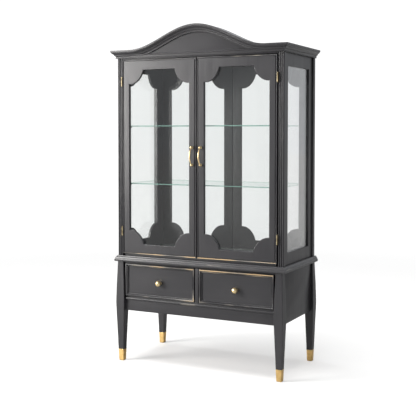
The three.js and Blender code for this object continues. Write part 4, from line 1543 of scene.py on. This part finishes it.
def makeBackScrews():
    ends, rail = backScrews["fromEnd"], backScrews["railEdge"]
    for hand, side in hands.items():
        low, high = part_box(f"back_frame_{hand}")
        outer = side * (max(abs(low.x), abs(high.x)) - backScrews["edge"])
        points = [(outer, high.y, low.z + ends + (high.z - low.z - 2 * ends) * i / 4) for i in range(5)]
        points += [(side * x, high.y, z) for x in backScrews["railX"] for z in (low.z + rail, high.z - rail)]
        toPiece(fitted(screw, toRear, darkSteel, points), f"back_screws_{hand}", [darkSteel])
    low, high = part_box("base_back")
    ends, edge = backScrews["baseEnd"], backScrews["baseEdge"]
    across = [low.x + ends + (high.x - low.x - 2 * ends) * i / 5 for i in range(6)]
    points = [(x, high.y, z) for x in across for z in (low.z + edge, high.z - edge)]
    toPiece(fitted(screw, toRear, darkSteel, points), "base_back_screws", [darkSteel])


guide = {"clear": 0.0010, "width": 0.0100, "inner": 0.0066, "height": 0.014, "fromFront": 0.020}


def makeDrawerGuides(hand, side):
    # Strips on the dust panel that keep a drawer box straight.
    panel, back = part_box("dust_panel")[1].z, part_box("drawer_divider")[1].y - 0.004
    low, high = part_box(f"drawer_tray_{hand}")
    near, far = sorted((abs(low.x), abs(high.x)))
    outer = far + guide["clear"]
    spans = {"inner": (guide["inner"], near - guide["clear"]), "outer": (outer, outer + guide["width"])}
    for name, (x0, x1) in spans.items():
        bm = bmesh.new()
        addBox(bm, (x0, low.y + guide["fromFront"], panel), (x1, back, panel + guide["height"]), side)
        toPiece(bm, f"drawer_guide_{name}_{hand}", [trayWood], slot="drawer_wood", ease=0.0010)


makePegs()
for kind, sizes in (("door", door), ("back", backFrame)):
    for hand in hands:
        makeBead(kind, sizes, hand)
for hand, side in hands.items():
    makeCatch(hand, side)
makeGapShadeStrip()
makeBackScrews()
for hand, side in hands.items():
    makeDrawerGuides(hand, side)
dropHelpers(screw)

print("stage: glass and shelves")


def glazeNode(node, material, slot):
    pane = frame["nodes"][node]
    pane.data.materials.clear()
    pane.data.materials.append(material)
    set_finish(pane, slot)


for hand in hands:
    glazeNode(f"door_glass_{hand}", doorGlass, "clear_glass")
    glazeNode(f"side_glass_{hand}", sideGlass, "clear_glass")
    glazeNode(f"back_glass_{hand}", backGlass, "clear_glass")
glazeNode("floor_glass", floorGlass, "floor_glass")


def makeShelf(level, ease=0.0007):
    node = f"shelf_{level}"
    low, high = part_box(node)
    bm = bmesh.new()
    profile = [(ease, low.z), (0.0, low.z + ease), (0.0, high.z - ease), (ease, high.z)]
    rings = edgeRings(bm, flatPlace, (low.x, high.x, low.y, high.y), profile)
    for first, second in zip(rings, rings[1:]):
        for side, face in enumerate(skin(bm, first, second)):
            face.material_index = 2 if side else 1  # the front edge is the darkest
    bm.faces.new(rings[0])
    bm.faces.new(rings[-1])
    finishes = [shelfFace, shelfEdge, shelfEnd]
    toPiece(bm, f"glass_shelf_{level}", finishes, node, slot="shelf_glass", sharp=20, weighted=False)


makeShelf("upper")
makeShelf("lower")

for node, shape in frame["nodes"].items():
    if not shape.hide_render and not shape.get("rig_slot"):
        print("still the plain CAD node:", node)
